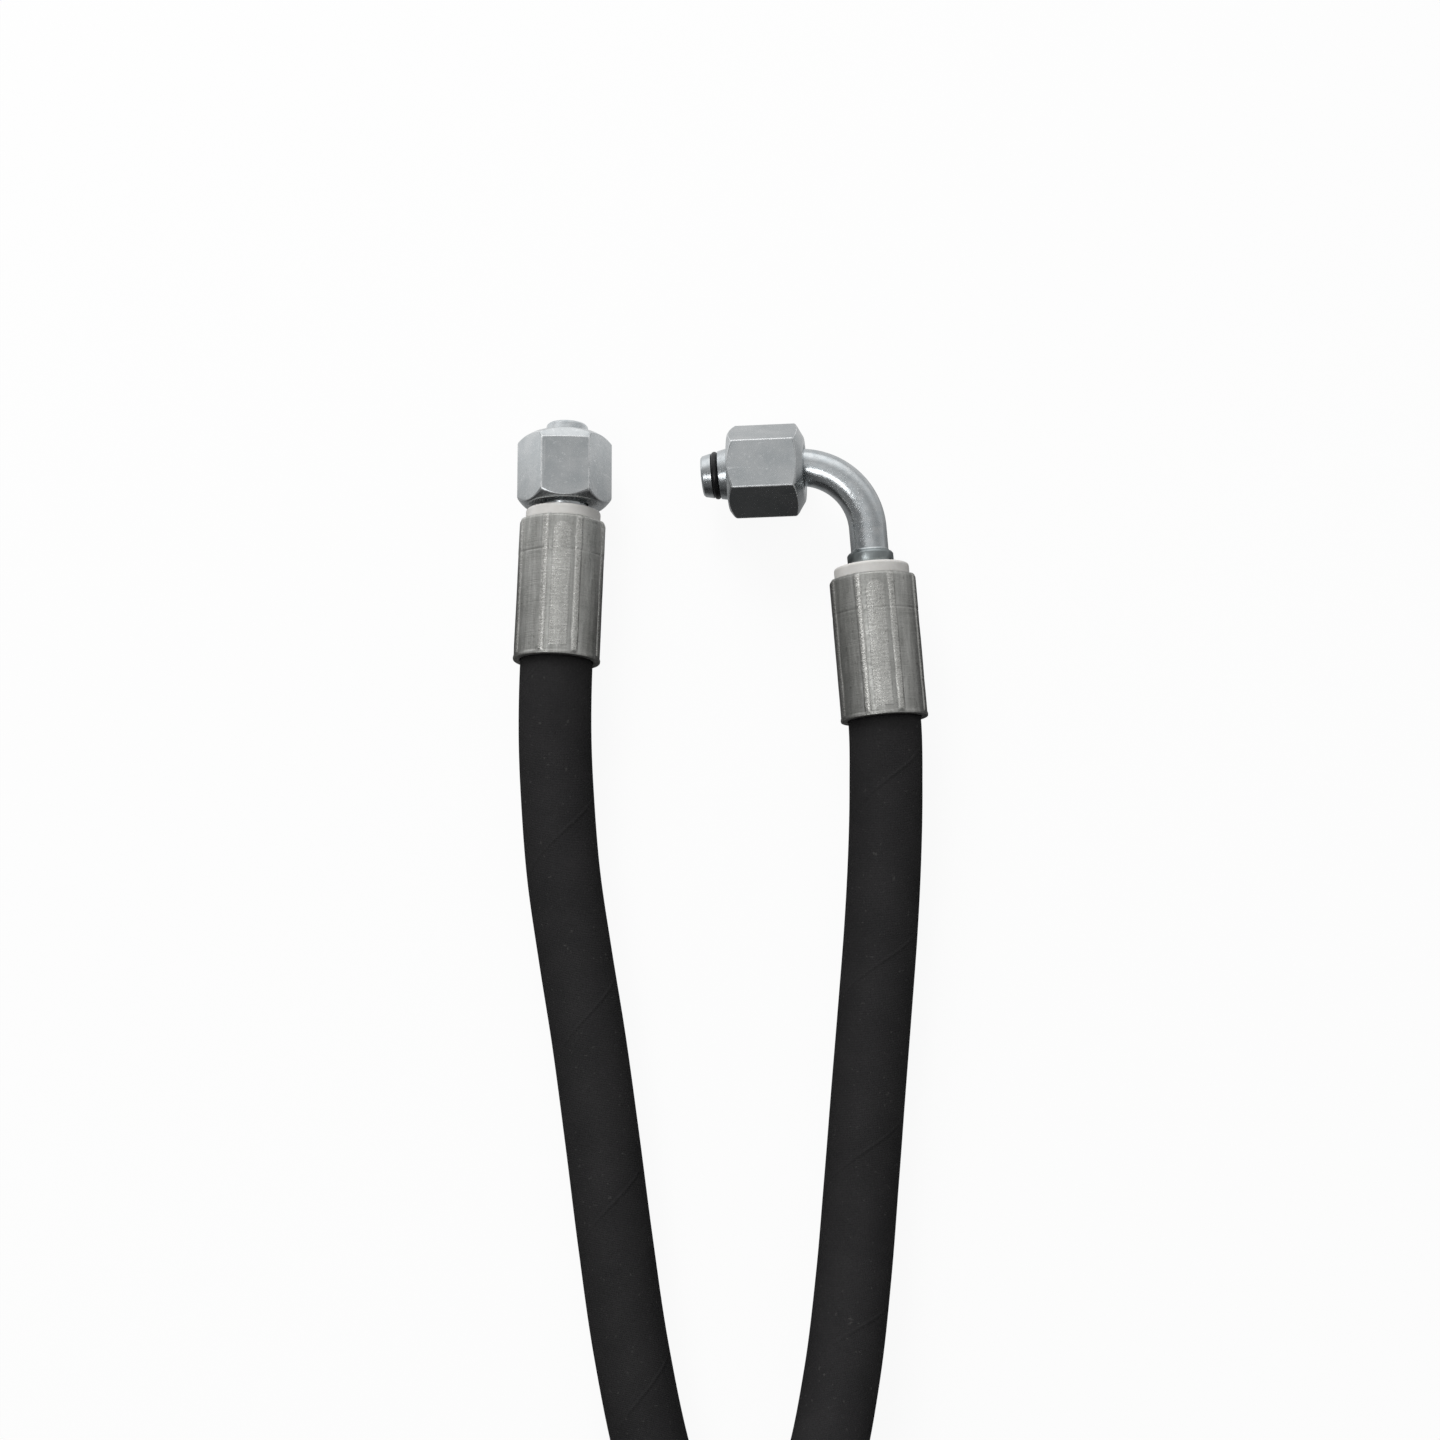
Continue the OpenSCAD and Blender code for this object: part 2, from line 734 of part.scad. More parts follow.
hose_straight_run();
hose_coil();
hose_elbow_run();
straight_liner();
straight_inner_braid();
straight_separator();
straight_outer_braid();
straight_cover();
elbow_liner();
elbow_inner_braid();
elbow_separator();
elbow_outer_braid();
elbow_cover();
straight_insert();
straight_o_ring();
straight_ferrule();
straight_guard_ring();
elbow_insert();
elbow_o_ring();
elbow_ferrule();
elbow_guard_ring();
straight_nut();
elbow_nut();
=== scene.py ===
"""Looks of the hydraulic hose assembly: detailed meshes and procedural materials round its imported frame."""

import math

import bpy
import numpy as np
from mathutils import Matrix, Vector


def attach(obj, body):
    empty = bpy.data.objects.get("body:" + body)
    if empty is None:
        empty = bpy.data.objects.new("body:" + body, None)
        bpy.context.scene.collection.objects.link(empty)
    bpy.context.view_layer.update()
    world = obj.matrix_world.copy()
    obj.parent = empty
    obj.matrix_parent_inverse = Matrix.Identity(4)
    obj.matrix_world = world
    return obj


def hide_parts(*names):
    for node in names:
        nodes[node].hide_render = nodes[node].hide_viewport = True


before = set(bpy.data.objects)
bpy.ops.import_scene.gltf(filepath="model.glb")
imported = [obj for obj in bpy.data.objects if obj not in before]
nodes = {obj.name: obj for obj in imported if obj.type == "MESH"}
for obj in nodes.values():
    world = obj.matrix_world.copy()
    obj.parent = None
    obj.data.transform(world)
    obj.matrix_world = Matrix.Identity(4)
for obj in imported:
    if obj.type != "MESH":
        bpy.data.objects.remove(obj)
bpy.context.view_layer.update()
MM = 0.001
TAU = 2 * math.pi

# ---------- sizes, in millimetres, as in the part's source ----------

HOSE_R, HOSE_BORE_R = 9.6, 4.75
FERRULE_LENGTH, FERRULE_R, PANEL_R = 37.8, 11.6, 11.4
MOUTH_R, GRIP_R, GRIP_ROOT_R = 9.75, 8.8, 9.25
CRIMP_START, GRIP_PITCH, GRIP_COUNT = 7.0, 3.4, 6
FLANGE_BACK, STOP_BACK, GRIP_END = 34.3, 32.3, 30.5
COLLAR_R, LOCK_R, NECK_R, FLOW_R = 6.15, 5.25, 5.0, 3.5
TAIL_R, TAIL_ROOT_R, TAIL_START = 5.0, 4.5, 1.5
COLLAR_FRONT = 45.0
RING_BACK, RING_FRONT, RING_R = 37.85, 41.15, 9.95
BEND_START, BEND_R = 51.7, 18.3
CORNER = BEND_START + BEND_R
CONE_R, CONE_TIP_R, CONE_SLOPE = 7.8, 5.45, math.tan(math.radians(12))
CONE_LENGTH = (CONE_R - CONE_TIP_R) / CONE_SLOPE
O_RING_BACK, O_RING_CORD, O_RING_PROUD = 3.7, 1.5, 0.2
GROOVE_HALF_WIDTH = 0.95
SEAT_GAP = 0.05
STRAIGHT_TIP, ELBOW_TIP = 65.15, 42.9
STRAIGHT_NUT_BACK, STRAIGHT_NUT_LENGTH = 42.95, 19.0
ELBOW_NUT_BACK, ELBOW_NUT_LENGTH = 15.4, 20.3
NUT_FLAT = 11.0
NUT_HOLE_R, THREAD_R, THREAD_ROOT_R, THREAD_PITCH, THREAD_DEPTH = 6.4, 8.19, 9.0, 1.5, 11.0


def turned(axis, degrees):
    return Matrix.Rotation(math.radians(degrees), 4, axis)


def moved(x, y, z):
    return Matrix.Translation((x, y, z))


def leaning(degrees, point):
    return moved(0, 0, point) @ turned("Y", degrees) @ moved(0, 0, -point)


ELBOW_YAW, ELBOW_PITCH, ELBOW_ROLL = 6.5, 2.8, 6.1
STRAIGHT_NUT_LEAN, STRAIGHT_NUT_TURN, STRAIGHT_LEAN_POINT = -2.2, 4, STRAIGHT_NUT_BACK + 4.05
ELBOW_NUT_LEAN, ELBOW_NUT_TURN, ELBOW_LEAN_POINT = 3.4, -1, ELBOW_NUT_BACK + 11.6
STRAIGHT_MOUTH = Vector((-42.7, -26.7, FERRULE_R))
ELBOW_MOUTH = Vector((44.45, -39.2, FERRULE_R))
AT_STRAIGHT = Matrix.Translation(STRAIGHT_MOUTH) @ turned("X", -90)
AT_ELBOW = Matrix.Translation(ELBOW_MOUTH) @ turned("Z", ELBOW_YAW) @ turned("X", ELBOW_PITCH - 90)
AT_ROLLED_ELBOW = AT_ELBOW @ turned("Z", -ELBOW_ROLL)
AT_NOSE = AT_ROLLED_ELBOW @ moved(0, 0, CORNER) @ turned("Y", -90)
AT_STRAIGHT_NUT = AT_STRAIGHT @ leaning(STRAIGHT_NUT_LEAN, STRAIGHT_LEAN_POINT) @ turned("Z", STRAIGHT_NUT_TURN)
AT_ELBOW_NUT = AT_NOSE @ leaning(ELBOW_NUT_LEAN, ELBOW_LEAN_POINT) @ turned("Z", ELBOW_NUT_TURN)

# ---------- camera ----------

CAMERA_ELEVATION, CAMERA_AZIMUTH = 79, 2
CAMERA_TARGET = (1.1, -40.7, 11)
CAMERA_DISTANCE = 0.75
CAMERA_SENSOR, CAMERA_LENS = 36, 71.085


def make_camera():
    elevation, azimuth = math.radians(CAMERA_ELEVATION), math.radians(CAMERA_AZIMUTH)
    level = math.cos(elevation)
    forward = Vector((-math.sin(azimuth) * level, math.cos(azimuth) * level, -math.sin(elevation)))
    right = Vector((math.cos(azimuth), math.sin(azimuth), 0))
    up = (-forward).cross(right)
    target = Vector(CAMERA_TARGET) * MM
    data = bpy.data.cameras.new("camera")
    data.sensor_width, data.lens = CAMERA_SENSOR, CAMERA_LENS
    data.clip_start, data.clip_end = 0.01, 20
    camera = bpy.data.objects.new("camera", data)
    bpy.context.scene.collection.objects.link(camera)
    turn = Matrix((right, up, -forward)).transposed().to_4x4()
    camera.matrix_world = Matrix.Translation(target - CAMERA_DISTANCE * forward) @ turn
    bpy.context.scene.camera = camera


make_camera()

# ---------- meshes from rings of points ----------


def shell(name, rings, circumference, marks=None):
    """Closed mesh through rings of equally many points, in millimetres, whose last ring joins its first. Its UV map has
    metres round the rings and metres along them. marks are values of its points, for its material."""
    rings = np.asarray(rings, float)
    count, around = rings.shape[:2]
    row, column = np.meshgrid(np.arange(count), np.arange(around), indexing="ij")
    row, column = row.ravel(), column.ravel()
    after, beside = (row + 1) % count, (column + 1) % around
    faces = np.stack(
        [row * around + column, row * around + beside, after * around + beside, after * around + column], 1
    )
    corners = rings.reshape(-1, 3)[faces]
    volume = np.einsum("ij,ij->i", corners[:, 0], np.cross(corners[:, 1], corners[:, 2])).sum()
    volume += np.einsum("ij,ij->i", corners[:, 0], np.cross(corners[:, 2], corners[:, 3])).sum()
    steps = np.linalg.norm(np.roll(rings, -1, 0) - rings, axis=2).mean(1)
    along = np.concatenate([[0], np.cumsum(steps)]) * MM
    u = np.stack([column, column + 1, column + 1, column], 1) * (circumference * MM / around)
    v = np.stack([along[row], along[row], along[row + 1], along[row + 1]], 1)
    if volume < 0:
        faces, u, v = faces[:, ::-1], u[:, ::-1], v[:, ::-1]
    mesh = bpy.data.meshes.new(name)
    mesh.from_pydata((rings.reshape(-1, 3) * MM).tolist(), [], faces.tolist())
    layer = mesh.uv_layers.new(name="Wrap")
    layer.data.foreach_set("uv", np.stack([u.ravel(), v.ravel()], 1).ravel().astype(np.float32))
    mesh.polygons.foreach_set("use_smooth", np.ones(len(faces), bool))
    if marks is not None:
        values = mesh.attributes.new("mark", "FLOAT", "POINT")
        values.data.foreach_set("value", np.asarray(marks, np.float32).ravel())
    obj = bpy.data.objects.new(name, mesh)
    bpy.context.scene.collection.objects.link(obj)
    return obj


def filleted(points, segments=5):
    """Outline through [radius, distance, fillet] points. Each corner becomes an arc with a short straight lead at both
    ends."""
    line = []
    count = len(points)
    for i, (r, s, fillet) in enumerate(points):
        here = np.array([r, s], float)
        if i in (0, count - 1) or fillet == 0:
            line.append(here)
            continue
        before = np.array(points[i - 1][:2], float) - here
        after = np.array(points[i + 1][:2], float) - here
        room = min(np.linalg.norm(before), np.linalg.norm(after))
        before, after = before / np.linalg.norm(before), after / np.linalg.norm(after)
        angle = math.acos(max(-1, min(1, float(before @ after))))
        reach = min(fillet / math.tan(angle / 2), 0.42 * room)
        lead = min(0.07, 0.05 * room)
        line.append(here + before * (reach + lead))
        for k in range(segments + 1):
            t = k / segments
            start, end = here + before * reach, here + after * reach
            line.append((1 - t) ** 2 * start + 2 * t * (1 - t) * here + t * t * end)
        line.append(here + after * (reach + lead))
    return line


def circle_ring(place, radius, distance, around):
    """Ring of points about a frame's +Z. The radius may vary round the ring."""
    angle = np.arange(around) * TAU / around
    local = np.stack(
        [radius * np.cos(angle), radius * np.sin(angle), np.full(around, distance), np.ones(around)], 1
    )
    return (local @ np.array(place).T)[:, :3]


def lathe(name, place, outline, around=128, circumference=60):
    """Solid of revolution about a frame's +Z, under a closed outline of [radius, distance] points."""
    return shell(name, [circle_ring(place, r, s, around) for r, s in outline], circumference)


def closed_outline(points):
    """Filleted outline whose last point meets its first on a straight stretch."""
    line = filleted(points)
    if np.linalg.norm(line[0] - line[-1]) < 1e-6:
        line = line[:-1]
    return line


def smoothstep(low, high, x):
    t = np.clip((np.asarray(x, float) - low) / (high - low), 0, 1)
    return t * t * (3 - 2 * t)


def wander(seed, x, scale):
    """Smooth noise of one variable, from -1 to 1."""
    source = np.random.RandomState(seed).uniform(-1, 1, 512)
    x = np.asarray(x, float) / scale + 100
    cell = np.floor(x).astype(int)
    part = x - cell
    part = part * part * (3 - 2 * part)
    return source[cell % 512] * (1 - part) + source[(cell + 1) % 512] * part


# ---------- the free hose ----------

HOSE_AROUND = 48
ROUTE_STEPS, LEAD_STEPS, LOOP_STEPS = 8, 6, 150
LOOP_CENTRE, LOOP_RADIUS, LOOP_TURN = (11.3, -391.7), 96.0, 300.0
LOOP_START_LIFT, LOOP_SLOPE = 14.3, 0.24
HOSE_INSET = 0.5
STRAIGHT_POINTS = [
    (-42.2, -45.7, 1.9), (-40.7, -63.7, 1.5), (-38.2, -83.7, 0.9), (-34.2, -104.7, 0.4),
    (-29.7, -126.7, 0), (-25.2, -151.7, 0), (-20.7, -177.7, 0), (-15.7, -203.7, 0),
    (-8.7, -230.7, 0), (1.3, -255.7, 0), (17.3, -278.7, 0),
]
ELBOW_POINTS = [
    (45.3, -57.7, 1.3), (45.4, -75.7, 0.8), (44.9, -94.7, 0.4), (43.9, -114.7, 0.1),
    (42.7, -136.7, 0), (41.5, -159.7, 0), (40, -183.7, 2.4), (37.5, -207.7, 7.6),
    (33.1, -230.7, 13.6), (25.1, -251.7, 18.2), (13.1, -269.7, 20), (-2.3, -285.3, 18.6),
]


def smooth_line(points, first, last):
    """Smooth line through route points with known directions at both ends, nowhere lower than lying flat."""
    points = [Vector(p) for p in points]
    end = len(points) - 1
    slopes = [(points[min(i + 1, end)] - points[max(i - 1, 0)]) / 2 for i in range(end + 1)]
    slopes[0] = Vector(first) * (points[1] - points[0]).length
    slopes[end] = Vector(last) * (points[end] - points[end - 1]).length
    line = []
    for i in range(end):
        a, b, m, n = points[i], points[i + 1], slopes[i], slopes[i + 1]
        for k in range(ROUTE_STEPS):
            t = k / ROUTE_STEPS
            p = (2 * t**3 - 3 * t * t + 1) * a + (t**3 - 2 * t * t + t) * m
            p += (3 * t * t - 2 * t**3) * b + (t**3 - t * t) * n
            p.z = max(p.z, HOSE_R)
            line.append(p)
    return line + [points[end]]


def hose_route():
    """Centre line of the hose, from the straight ferrule's mouth to the elbow ferrule's, and its ways at both ends. The
    loop's first end is the one that lies on top, and each end of the loop has a straight lead."""
    first = math.radians(270 - LOOP_TURN / 2)
    last = first + math.radians(LOOP_TURN)
    centre = Vector(LOOP_CENTRE)
    lead = 2 * HOSE_R

    def on_loop(a):
        return centre + LOOP_RADIUS * Vector((math.cos(a), math.sin(a)))

    def way(a):
        return Vector((-math.sin(a), math.cos(a)))

    fall = LOOP_START_LIFT - LOOP_SLOPE * lead
    ease = 2 * fall / LOOP_SLOPE

    def height(run):
        if run < lead:
            return HOSE_R + LOOP_START_LIFT - LOOP_SLOPE * run
        if run < lead + ease:
            return HOSE_R + fall * (1 - (run - lead) / ease) ** 2
        return HOSE_R

    begin_flat = on_loop(first) - lead * way(first)
    end_flat = on_loop(last) + lead * way(last)
    loop = []
    for k in range(LEAD_STEPS):
        run = lead * k / LEAD_STEPS
        loop.append((*(begin_flat + run * way(first)), height(run)))
    for k in range(LOOP_STEPS + 1):
        a = first + (last - first) * k / LOOP_STEPS
        loop.append((*on_loop(a), height(lead + LOOP_RADIUS * (a - first))))
    for k in range(1, LEAD_STEPS + 1):
        loop.append((*(on_loop(last) + lead * k / LEAD_STEPS * way(last)), HOSE_R))
    loop = [Vector(p) for p in loop]
    begin_way = Vector((*way(first), -LOOP_SLOPE)).normalized()
    end_way = Vector((*way(last), 0))
    straight_out = Vector((0, -1, 0))
    elbow_out = -(AT_ELBOW.to_3x3() @ Vector((0, 0, 1)))

    def lying(points):
        return [Vector((x, y, HOSE_R + lift)) for x, y, lift in points]

    out = smooth_line(
        [STRAIGHT_MOUTH - HOSE_INSET * straight_out, *lying(STRAIGHT_POINTS), (*end_flat, HOSE_R)],
        straight_out,
        -end_way,
    )
    back = smooth_line(
        [ELBOW_MOUTH - HOSE_INSET * elbow_out, *lying(ELBOW_POINTS), (*begin_flat, height(0))],
        elbow_out,
        begin_way,
    )
    return out + loop[::-1][1:-1] + back[::-1], straight_out, -elbow_out


def make_hose():
    route, first, last = hose_route()
    outer, inner = [], []
    for i, p in enumerate(route):
        if i == 0:
            way = first
        elif i == len(route) - 1:
            way = last
        else:
            way = ((route[i + 1] - p).normalized() + (p - route[i - 1]).normalized()).normalized()
        side = way.cross(Vector((0, 0, 1))).normalized()
        up = side.cross(way)
        angle = np.arange(HOSE_AROUND) * TAU / HOSE_AROUND
        ring = np.outer(np.sin(angle), side) - np.outer(np.cos(angle), up)
        outer.append(np.array(p) + HOSE_R * ring)
        inner.append(np.array(p) + HOSE_BORE_R * ring)
    hose = shell("hose", outer + inner[::-1], TAU * HOSE_R)
    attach(hose, "assembly")
    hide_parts("hose_straight_run", "hose_coil", "hose_elbow_run")
    return hose


hose = make_hose()

# ---------- ferrules ----------

FERRULE_AROUND = 288
PANEL_COUNT, PANEL_FLATNESS = 8, 0.3
RIDGE_HALF_WIDTH, RIDGE_HEIGHT = 0.70, 0.11
RING_LINE = 28.2
PAD_HALF_WIDTH, PAD_BACK, PAD_FRONT, RIB_PITCH = 2.35, 2.2, 32.9, 1.05


def ferrule_inside():
    """Outline of the cavity, from the front hole back to the mouth."""
    line = [
        (LOCK_R + SEAT_GAP, FERRULE_LENGTH, 0.2),
        (LOCK_R + SEAT_GAP, FLANGE_BACK, 0.1),
        (GRIP_R, FLANGE_BACK, 0.1),
        (GRIP_R, GRIP_END, 0),
    ]
    for i in reversed(range(GRIP_COUNT)):
        start = CRIMP_START + i * GRIP_PITCH
        line += [
            (GRIP_ROOT_R, start + 0.85 * GRIP_PITCH, 0),
            (GRIP_ROOT_R, start + 0.55 * GRIP_PITCH, 0),
            (GRIP_R, start + 0.4 * GRIP_PITCH, 0),
            (GRIP_R, start, 0),
        ]
    return line + [(MOUTH_R, 3, 0), (MOUTH_R, 0.8, 0)]


def make_ferrule(name, turn, place, seed):
    """Crimped ferrule: eight slightly flattened panels, a flat-topped ridge with wandering sides between each two,
    a fine ring line, and a low plain pad with a round end on the panel that faces up."""
    angle = np.arange(FERRULE_AROUND) * TAU / FERRULE_AROUND
    up = -TAU / 4
    distances = np.concatenate(
        [np.linspace(0.62, 1.6, 8)[:-1], np.linspace(1.6, 36.2, 150)[:-1], np.linspace(36.2, 37.05, 7)]
    )
    rings, marks = [], []

    def add(radius, distance, mark=None):
        rings.append(circle_ring(place @ turned("Z", turn), radius, distance, FERRULE_AROUND))
        marks.append(np.zeros(FERRULE_AROUND) if mark is None else mark)

    for r, s in filleted([(MOUTH_R, 0.8, 0), (MOUTH_R, 0, 0.3), (FERRULE_R - 0.1, 0, 0.5), (FERRULE_R - 0.02, 0.6, 0)]):
        add(np.full(FERRULE_AROUND, r), s)
    sector = TAU / PANEL_COUNT
    from_panel = (angle - up + sector / 2) % sector - sector / 2
    panel = np.round((angle - up) / sector).astype(int) % PANEL_COUNT
    across_ridge = (np.abs(from_panel) - sector / 2) * PANEL_R
    ridge_number = np.floor((angle - up) / sector).astype(int) % PANEL_COUNT
    pad_x = from_panel * PANEL_R
    flat = PANEL_FLATNESS * PANEL_R * (1 / np.cos(from_panel) - 1)
    for s in distances:
        within = float(smoothstep(0.5, 1.3, s))
        widths = [RIDGE_HALF_WIDTH + 0.09 * wander(seed + n, s, 3.1) for n in range(PANEL_COUNT)]
        width = np.array(widths)[ridge_number]
        coarse = np.array([wander(seed + 40 + n, s, 2.3) for n in range(PANEL_COUNT)])[ridge_number]
        fine = np.array([wander(seed + 60 + n, s, 0.6) for n in range(PANEL_COUNT)])[ridge_number]
        height = RIDGE_HEIGHT + 0.03 * coarse + 0.02 * fine + 0.02 * wander(seed + 70, s + 9 * angle, 0.5)
        plateau = 1 - smoothstep(-0.15, 0.38, np.abs(across_ridge) - width)
        gutter = np.exp(-(((np.abs(across_ridge) - width - 0.36) / 0.14) ** 2))
        ring_line = -0.06 * math.exp(-(((s - RING_LINE) / 0.2) ** 2))
        ring_line += 0.035 * float(smoothstep(RING_LINE, RING_LINE + 0.5, s))
        # plain even ribs right across the pad, as a die leaves them
        ribs = math.sin(TAU * s / RIB_PITCH) * (0.75 + 0.25 * wander(seed + 90, s, 3.0))
        wave = np.array([0.03 * wander(seed + 80 + n, s, 5.0) for n in range(PANEL_COUNT)])[panel]
        # the pad: straight sides and a round front end
        pad_edge = np.hypot(pad_x, max(0.0, s - PAD_FRONT)) - PAD_HALF_WIDTH
        on_pad = (panel == 0) * float(smoothstep(PAD_BACK, PAD_BACK + 0.4, s))
        pad = (1 - smoothstep(-0.05, 0.2, pad_edge)) * on_pad
        rim = np.exp(-(((pad_edge + 0.05) / 0.14) ** 2)) * on_pad
        change = flat + height * plateau - 0.05 * gutter + ring_line + wave + pad * (0.05 + 0.022 * ribs) + 0.035 * rim
        base = FERRULE_R - 0.02 + (PANEL_R - FERRULE_R + 0.02) * within
        profile = base + change * within
        # the mark: ridge tops and pad, which the material makes smoother and paints lighter as scuffs with a painted
        # highlight
        add(profile, s, np.maximum(plateau * within, pad * (0.62 + 0.12 * ribs)))
    for drop, back in ((0.03, 0.62), (0.12, 0.42), (0.28, 0.2), (0.42, 0.07), (0.58, 0.01), (0.75, 0)):
        add(profile - drop, FERRULE_LENGTH - back)
    add(np.full(FERRULE_AROUND, LOCK_R + 0.9), FERRULE_LENGTH)
    for r, s in filleted([(LOCK_R + 0.8, FERRULE_LENGTH, 0), *ferrule_inside()])[1:-1]:
        add(np.full(FERRULE_AROUND, r), s)
    ferrule = shell(name, rings, TAU * FERRULE_R, marks=np.array(marks))
    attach(ferrule, "assembly")
    return ferrule


straight_ferrule = make_ferrule("straight_ferrule_crimped", 4, AT_STRAIGHT, 11)
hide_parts("straight_ferrule")
elbow_ferrule = make_ferrule("elbow_ferrule_crimped", -2, AT_ELBOW, 211)
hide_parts("elbow_ferrule")

# ---------- guard rings ----------


def make_guard(name, place):
    guard = lathe(
        name,
        place,
        closed_outline(
            [
                (COLLAR_R + SEAT_GAP, RING_BACK + 1.6, 0),
                (COLLAR_R + SEAT_GAP, RING_BACK, 0.15),
                (RING_R, RING_BACK, 0.35),
                (RING_R + 0.03, RING_FRONT, 0.85),
                (COLLAR_R + SEAT_GAP, RING_FRONT, 0.3),
                (COLLAR_R + SEAT_GAP, RING_BACK + 1.6, 0),
            ]
        ),
        circumference=TAU * RING_R,
    )
    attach(guard, "assembly")
    return guard


straight_guard = make_guard("straight_guard_collar", AT_STRAIGHT)
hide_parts("straight_guard_ring")
elbow_guard = make_guard("elbow_guard_collar", AT_ELBOW)
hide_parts("elbow_guard_ring")

# ---------- inserts ----------

INSERT_AROUND = 112
BEND_STEPS = 56


def tail_outline():
    """Outside of an insert from its free end to the front of its collar."""
    line = [(TAIL_ROOT_R - 0.4, TAIL_START, 0.1), (TAIL_ROOT_R, TAIL_START + 0.8, 0)]
    for i in range(GRIP_COUNT):
        start = CRIMP_START + i * GRIP_PITCH
        line += [
            (TAIL_ROOT_R, start, 0),
            (TAIL_R, start + 0.7 * GRIP_PITCH, 0),
            (TAIL_R, start + 0.9 * GRIP_PITCH, 0),
            (TAIL_ROOT_R, start + 0.95 * GRIP_PITCH, 0),
        ]
    return line + [
        (TAIL_ROOT_R, STOP_BACK, 0),
        (COLLAR_R, STOP_BACK, 0.1),
        (COLLAR_R, FLANGE_BACK - SEAT_GAP, 0),
        (LOCK_R, FLANGE_BACK - SEAT_GAP, 0),
        (LOCK_R, FERRULE_LENGTH + SEAT_GAP, 0),
        (COLLAR_R, FERRULE_LENGTH + SEAT_GAP, 0),
        (COLLAR_R, COLLAR_FRONT - 0.75, 0.25),
        (COLLAR_R - 0.35, COLLAR_FRONT - 0.25, 0.2),
        (NECK_R + 0.25, COLLAR_FRONT, 0.2),
        (NECK_R, COLLAR_FRONT + 0.5, 0.5),
    ]


def nose_outline(tip):
    """Outside of an insert from the neck's end over its cone and O-ring groove to its tip."""
    middle = CONE_TIP_R + O_RING_BACK * CONE_SLOPE
    root = middle + O_RING_PROUD - O_RING_CORD - SEAT_GAP
    back, front = tip - O_RING_BACK - GROOVE_HALF_WIDTH, tip - O_RING_BACK + GROOVE_HALF_WIDTH
    shoulder = tip - CONE_LENGTH - 0.5
    return [
        (NECK_R, shoulder - (CONE_R - NECK_R), 0.8),
        (CONE_R, shoulder, 0.15),
        (CONE_R, shoulder + 0.5, 0.1),
        (CONE_TIP_R + (tip - back) * CONE_SLOPE, back, 0.12),
        (root, back, 0.15),
        (root, front, 0.15),
        (CONE_TIP_R + (tip - front) * CONE_SLOPE, front, 0.12),
        (CONE_TIP_R + 0.25 * CONE_SLOPE, tip - 0.45, 0.3),
        (CONE_TIP_R - 0.4, tip, 0.15),
        (FLOW_R + 0.35, tip, 0.1),
        (FLOW_R, tip - 0.4, 0.1),
        (FLOW_R, tip - 4, 0),
    ]


def make_straight_insert():
    line = tail_outline() + nose_outline(STRAIGHT_TIP)
    line += [(FLOW_R, 30, 0), (FLOW_R, TAIL_START, 0.1), (TAIL_ROOT_R - 0.4, TAIL_START, 0)]
    insert = lathe("straight_insert_turned", AT_STRAIGHT, closed_outline(line), INSERT_AROUND, TAU * NECK_R)
    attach(insert, "assembly")
    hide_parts("straight_insert")
    return insert


def bend_ring(radius, angle):
    """Ring of the elbow's tube at an angle of its bend."""
    across = turned("Y", -math.degrees(angle))
    centre = moved(-BEND_R + BEND_R * math.cos(angle), 0, BEND_START + BEND_R * math.sin(angle))
    return circle_ring(AT_ROLLED_ELBOW @ centre @ across, radius, 0, INSERT_AROUND)


def make_elbow_insert():
    tail = filleted(tail_outline() + [(NECK_R, BEND_START - 0.1, 0)])
    rings = [circle_ring(AT_ROLLED_ELBOW, r, s, INSERT_AROUND) for r, s in tail]
    # the collar is marked for its rougher finish and for painted shade, a darker colour
    collar_dulling_and_shade = [float(FERRULE_LENGTH < s < COLLAR_FRONT + 0.2) for r, s in tail]
    bends = [bend_ring(NECK_R, k / BEND_STEPS * TAU / 4) for k in range(BEND_STEPS + 1)]
    nose = filleted([(NECK_R, BEND_R + 0.1, 0)] + nose_outline(ELBOW_TIP))
    rings += bends + [circle_ring(AT_NOSE, r, s, INSERT_AROUND) for r, s in nose]
    rings += [circle_ring(AT_NOSE, FLOW_R, BEND_R + 0.1, INSERT_AROUND)]
    rings += [bend_ring(FLOW_R, k / BEND_STEPS * TAU / 4) for k in reversed(range(BEND_STEPS + 1))]
    rings += [
        circle_ring(AT_ROLLED_ELBOW, r, s, INSERT_AROUND)
        for r, s in filleted([(FLOW_R, 40, 0), (FLOW_R, TAIL_START, 0.1), (TAIL_ROOT_R - 0.5, TAIL_START, 0)])
    ]
    collar_dulling_and_shade += [0.0] * (len(rings) - len(collar_dulling_and_shade))
    marks = np.repeat(np.array(collar_dulling_and_shade)[:, None], INSERT_AROUND, axis=1)
    insert = shell("elbow_insert_bent", rings, TAU * NECK_R, marks=marks)
    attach(insert, "assembly")
    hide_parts("elbow_insert")
    return insert


straight_insert = make_straight_insert()
elbow_insert = make_elbow_insert()

# ---------- O-rings ----------


def make_o_ring(name, place, tip, node):
    """O-ring a little flattened by its groove."""
    middle = CONE_TIP_R + O_RING_BACK * CONE_SLOPE + O_RING_PROUD - O_RING_CORD / 2
    outline = []
    for k in range(36):
        a = k * TAU / 36
        reach = O_RING_CORD / 2 * (1 - 0.04 * math.cos(2 * a))
        outline.append((middle + reach * math.cos(a), tip - O_RING_BACK + reach * 1.06 * math.sin(a)))
    ring = lathe(name, place, outline, 128, TAU * middle)
    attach(ring, "assembly")
    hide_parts(node)
    return ring


straight_o_ring = make_o_ring("straight_seal", AT_STRAIGHT, STRAIGHT_TIP, "straight_o_ring")
elbow_o_ring = make_o_ring("elbow_seal", AT_NOSE, ELBOW_TIP, "elbow_o_ring")

# ---------- union nuts ----------

NUT_AROUND = 384
CORNER_ROUND = 0.4
STRAIGHT_NUT_LIP = 0.4


